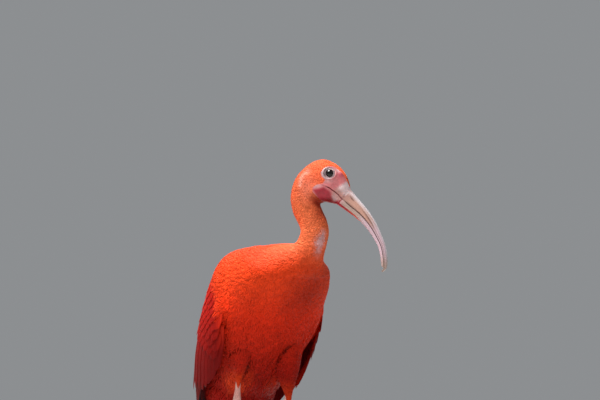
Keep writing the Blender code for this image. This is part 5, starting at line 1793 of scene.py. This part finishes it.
# Rows of coverts: how many, arcs of the first and last, shares of the way from the front
# edge to the coverts' end line for roots and tips, half width.
COVERT_TIERS = [
    (12, (32, 116), (0.20, 0.50), 5.6),
    (12, (31, 112), (0.27, 0.60), 5.9),
    (13, (25, 116), (0.36, 0.72), 6.3),
    (14, (18, 120), (0.46, 0.84), 6.6),
    (14, (20, 119), (0.56, 1.0), 7.0),
]
COVERT_HEIGHTS = (3.4, 6.3)
COVERT_TILT = 0.035
COVERT_END, COVERT_END_SLANT = 125.0, 0.15
# Secondaries and tertials: arc of the root, arc of the tip, distance of the tip down the wing.
SECONDARIES = [
    (121, 119, 159),
    (110, 109, 178),
    (97, 97, 190),
    (83, 81, 198),
    (68, 63, 207),
    (53, 45, 212),
    (38, 28, 213),
    (25, 14, 204),
]
SECONDARY_COUNT = 14
SECONDARY_ROOT, SECONDARY_SLANT, SECONDARY_SLANT_FROM = 88.0, 0.12, 60.0
SECONDARY_HEIGHTS = (2.8, 5.2)
# Primaries, from the outermost in: arc of the root, arc of the tip, distance of the tip.
PRIMARIES = [(116, 43, 253), (109, 36, 264), (102, 28, 259), (94, 20, 243)]
PRIMARY_COUNT = 7
PRIMARY_ROOT = 101.0
PRIMARY_HEIGHTS = (1.9, 1.4)
# Black at the primaries' tips, from the outermost in.
PRIMARY_BLACKS = {"left": (34, 10), "right": (76, 14)}


def spread_rows(rows, count):
    """count rows read smoothly along a few."""
    return Track([(k, *row) for k, row in enumerate(rows)]).at(np.linspace(0, len(rows) - 1, count))


def wing_place(points):
    """Roughly how far down the folded wing and how far round from the back points lie."""
    along, low = trunk_place(points)
    shell = WING_SHELL.at(np.clip(along, WING_SHELL_ROWS[0][0], WING_SHELL_ROWS[-1][0]))
    back, belly, width = (shell[..., k] for k in range(3))
    rise = -low - (back - belly) / 2
    angle = np.arctan2(np.abs(points[..., 0]) / width, rise / ((back + belly) / 2))
    return WING_TOP - along, angle / math.pi * WING_ARC


def wing_colour(points):
    """Like the breast at the front edge and the shoulder, then crimson that darkens downward as painted
    shade.
    """
    down, arc = wing_place(points)
    colour = mix(WING_PAINTED_SHADE, WING_RED, smooth(points[..., 2], 122, 235))
    colour = mix(plumage(points), colour, smooth(down - WING_FRONT.within(arc), 2, 38))
    return mix(colour, plumage(points), smooth(points[..., 2], 215, 265))


def tail_colour(points):
    """The wing's red, all one shade."""
    return np.broadcast_to(WING_RED * 0.8, points.shape)


def make_wing(side, surface, material):
    """Every feather of one folded wing: small coverts, covert tiers, then flight feathers."""
    chance = np.random.default_rng(70 if side == "left" else 71)

    def place(down, arc, out):
        return surface.at(down, np.asarray(arc) / WING_ARC, out + shoulder_rise(down, arc))

    coverts, flight = Batch(), Batch()
    grid = cells(sum(tier[0] for tier in COVERT_TIERS))
    for count, arcs, shares, half in COVERT_TIERS:
        for arc in np.linspace(*arcs, count):
            arc += chance.uniform(-0.8, 0.8)
            front, end = WING_FRONT.within(arc), COVERT_END + COVERT_END_SLANT * arc
            start, stop = (front + (end - front) * share for share in shares)
            stop += chance.uniform(-1.6, 1.0)
            low, high = (out * (0.3 + 0.7 * smooth(arc, 16, 40)) for out in COVERT_HEIGHTS)
            tip = (stop, arc + chance.uniform(-0.7, 0.7), high)
            add_vane(coverts, place, (start, arc, low), tip, COVERT_WIDTH, half, chance, grid.pop(),
                     wing_colour, COVERT_TILT)
    grid = cells(SECONDARY_COUNT + PRIMARY_COUNT)
    for root_arc, tip_arc, stop in spread_rows(SECONDARIES, SECONDARY_COUNT):
        start = SECONDARY_ROOT + SECONDARY_SLANT * max(0, root_arc - SECONDARY_SLANT_FROM)
        root = (start, root_arc, SECONDARY_HEIGHTS[0])
        tip = (stop + chance.uniform(-1.5, 1), tip_arc, SECONDARY_HEIGHTS[1])
        add_vane(flight, place, root, tip, FLIGHT_WIDTH, 8.4, chance, grid.pop(), wing_colour, 0.085, 1.5,
                 rows=26)
    blacks = np.linspace(*PRIMARY_BLACKS[side], PRIMARY_COUNT)
    for (root_arc, tip_arc, stop), black in zip(spread_rows(PRIMARIES, PRIMARY_COUNT), blacks):
        root, tip = (PRIMARY_ROOT, root_arc, PRIMARY_HEIGHTS[0]), (stop - 1, tip_arc, PRIMARY_HEIGHTS[1])
        add_vane(flight, place, root, tip, FLIGHT_WIDTH, 7.0, chance, grid.pop(), wing_colour, 0.12, 10.0,
                 rows=26, camber=0.3, tips=black)
    settle(mesh_object("wing_coverts_" + side, coverts, material), "scarlet_feathers")
    settle(mesh_object("wing_flight_" + side, flight, material), "scarlet_feathers", "wing_" + side)
    make_small_coverts(side, surface, material)


# The wing's small coverts: spacing, length and half width.
SMALL_COVERTS = (3.7, 14.0, 4.3)


def make_small_coverts(side, surface, material):
    """Soft small feathers over the wing's front edge and shoulder."""
    arcs = surface.points.shape[1]
    step, length, half = SMALL_COVERTS

    def spacing(u, v):
        return step + 0 * u

    def keep(u, v):
        arc = v * arcs / (arcs - 1) * WING_ARC
        start = COVERT_START[0] + (COVERT_START[1] - COVERT_START[0]) * smooth(arc, 30, 48)
        end = 0.36 + 0.34 * (1 - smooth(arc, 24, 40))
        return (past_front(u, arc) > start) * (covert_share(u, arc) < end) * (arc > 16) * (arc < 126)

    u, v = scatter(surface, spacing, keep, 50)

    def ground(u, v):
        return np.maximum(core_height(u, v * WING_ARC), -1.4)

    lay_feathers("coat_wing_" + side, surface, u, v, 1, length, half, 7, -1.0, 0.6, material, 51,
                 "scarlet_feathers", colour=wing_colour, spread=0.05, ground=ground)


def past_front(down, arc):
    """Distance down the wing from its front edge."""
    return down - WING_FRONT.within(arc)


def covert_share(down, arc):
    """0 at the wing's front edge, 1 at the end of the greater coverts."""
    front = WING_FRONT.within(arc)
    return (down - front) / (COVERT_END + COVERT_END_SLANT * arc - front)


# Tail

TAIL_PAIRS = 6
TAIL_STEP = 0.8
TAIL_ROOT = 27.0
TAIL_ROUNDING = 0.75
# Coverts: root and tip behind the trunk, heights there, rise towards the middle, how many.
TAIL_COVERT_ROWS = [
    (6, 60, 13.0, 2.6, 0.95, 5),
    (16, 72, 8.5, 2.3, 0.7, 6),
    (5, 66, -21.0, -7.2, -0.95, 5),
    (18, 76, -14.0, -6.6, -0.7, 6),
]


def make_tail(material):
    """Flight feathers, the middle pair on top, between coverts above and below."""
    chance = np.random.default_rng(90)
    batch = Batch()
    grid = cells(2 * TAIL_PAIRS + sum(row[-1] for row in TAIL_COVERT_ROWS))
    for pair in range(TAIL_PAIRS):
        for way in (-1, 1):
            level = -TAIL_STEP * (pair + 1 if pair else (1 + way) / 2)
            aside, spread = way * (1.5 + 2.1 * pair), way * (3.0 + 4.5 * pair)
            end = TAIL_LENGTH - TAIL_ROUNDING * pair**1.5 + chance.uniform(-1, 0.5)
            root, tip = (TAIL_ROOT, aside, level), (end, spread, level)
            add_vane(batch, tail_points, root, tip, FLIGHT_WIDTH, 7.6, chance, grid.pop(), tail_colour,
                     rows=22, camber=0.2)
    for start, end, low, high, rise, count in TAIL_COVERT_ROWS:
        for k in range(count):
            offset = (k - (count - 1) / 2) * 4 / count
            level = rise * (-abs(offset) + (0.4 if offset > 0 else 0))
            root = (start, offset * 9.0, low + 2.2 * level)
            tip = (end - 3.0 * abs(offset), offset * 10.0, high + level)
            add_vane(batch, tail_points, root, tip, COVERT_WIDTH, 8.6, chance, grid.pop(), plumage,
                     camber=0.2)
    settle(mesh_object("tail_feathers", batch, material), "scarlet_feathers", "tail")


# Camera, light and floor

VIEW_TURN, VIEW_CLIMB = math.radians(-28), math.radians(-5)
VIEW_WIDTH, SENSOR = 720.0, 36.0
VIEW_DISTANCE, VIEW_PLANE = 3400.0, 55.0
VIEW_PLACE = (43.2, 337.6)


def view_axes():
    """The camera's right, backward and up directions."""
    right = np.array([math.cos(VIEW_TURN), math.sin(VIEW_TURN), 0])
    back = np.array([math.sin(VIEW_TURN) * math.cos(VIEW_CLIMB), -math.cos(VIEW_TURN) * math.cos(VIEW_CLIMB),
                     math.sin(VIEW_CLIMB)])
    return right, back, np.cross(back, right)


def make_camera():
    """The camera of the photo, which looks up a little from the right of the breast."""
    right, back, up = view_axes()
    camera = bpy.data.cameras.new("camera")
    camera.lens = SENSOR * VIEW_DISTANCE / VIEW_WIDTH
    camera.sensor_width = SENSOR
    camera.clip_start, camera.clip_end = 0.1, 60.0
    thing = new_object("camera", camera)
    target = right * VIEW_PLACE[0] + up * VIEW_PLACE[1] + back * VIEW_PLANE
    thing.location = Vector((target + back * VIEW_DISTANCE) * MM + SHIFT)
    thing.rotation_euler = Vector(-back).to_track_quat("-Z", "Y").to_euler()
    bpy.context.scene.camera = thing


def add_light(name, place, target, size, power_watts, colour):
    """A round area light at a place in metres, turned to a target."""
    light = bpy.data.lights.new(name, "AREA")
    light.shape = "DISK"
    light.size = size
    light.energy = power_watts
    light.color = colour
    thing = new_object(name, light)
    thing.location = place
    thing.rotation_euler = (Vector(target) - Vector(place)).to_track_quat("-Z", "Y").to_euler()
    return thing


def make_studio():
    """Soft light from overhead, a weak fill, a pale floor and a pale sky."""
    add_light("key", (-0.95, 0.05, 2.05), (0, 0, 0.28), 1.0, 70, (1.0, 0.98, 0.94))
    add_light("back", (-0.3, 1.05, 2.0), (0, 0, 0.28), 0.8, 42, (1.0, 0.985, 0.96))
    fill = add_light("fill", (-1.5, -1.9, 0.9), (0, 0, 0.22), 1.4, 4, (1.0, 0.99, 0.98))
    fill.visible_glossy = False
    world_light = bpy.data.worlds.new("sky")
    world_light.use_nodes = True
    sky = world_light.node_tree.nodes["Background"]
    sky.inputs["Color"].default_value = (0.80, 0.83, 0.86, 1)
    sky.inputs["Strength"].default_value = 0.33
    bpy.context.scene.world = world_light
    floor_material = bpy.data.materials.new("floor")
    floor_material.use_nodes = True
    shader = floor_material.node_tree.nodes["Principled BSDF"]
    shader.inputs["Base Color"].default_value = (0.52, 0.52, 0.51, 1)
    shader.inputs["Roughness"].default_value = 0.8
    body = bmesh.new()
    bmesh.ops.create_circle(body, cap_ends=True, segments=96, radius=8.0)
    mesh = bpy.data.meshes.new("floor")
    body.to_mesh(mesh)
    body.free()
    mesh.materials.append(floor_material)
    floor = new_object("floor", mesh)


def mesh_tree(thing):
    """A finished mesh for ray casts, in the bird's own millimetres."""
    faces = [tuple(face.vertices) for face in thing.data.polygons]
    return BVHTree.FromPolygons([Vector(p) for p in own_points(thing)], faces)


def surface_tree(surface):
    """A closed surface for nearest-point searches, its faces outward."""
    rows, columns = surface.points.shape[:2]
    faces = tube_faces(rows, columns)[0]
    points = surface.points.reshape(-1, 3)
    if signed_volume(points, [faces]) < 0:
        faces = faces[:, ::-1]
    return BVHTree.FromPolygons([Vector(p) for p in points], [tuple(f) for f in faces.tolist()])


def make_all():
    """Every piece of the bird."""
    scarlet = feather_material("scarlet feathers", 0.06, 50, 0.01, (1.0, 0.50, 0.22))
    orange = feather_material("neck feathers", 0.12, 110, 0.06, (1.0, 0.62, 0.36))
    wing = feather_material("wing feathers", 0.07, 60, 0.004, (1.0, 0.50, 0.44))
    face, horn, pink = face_material(), horn_material(), leg_material()
    claw, eye = claw_material(), eye_material()
    body = make_body_surface(TAIL_CORE_TAPER)
    thighs = {side: thigh_surface(side) for side in LEGS}
    wings = {side: wing_surface(side) for side in LEGS}
    skin = make_skin(body, thighs, wings, face)
    make_body_coat(make_body_surface(VENT_TAPER), body, skin, scarlet, orange)
    tree = surface_tree(body)
    for side, way in (("left", 1), ("right", -1)):
        make_thigh_coat(side, thighs[side], tree, scarlet)
        make_wing(side, wings[side], wing)
        make_eye("eyeball_" + side, way, eye)
        make_foot(side, make_leg(side, pink), pink)
        for name in TOES:
            make_claw(side, name, claw)
    mandible("upper_mandible", True, horn, "bill_upper")
    mandible("lower_mandible", False, horn, "bill_lower")
    make_tail(scarlet)


make_camera()
make_studio()
make_all()
bpy.context.scene.view_settings.view_transform = "Standard"
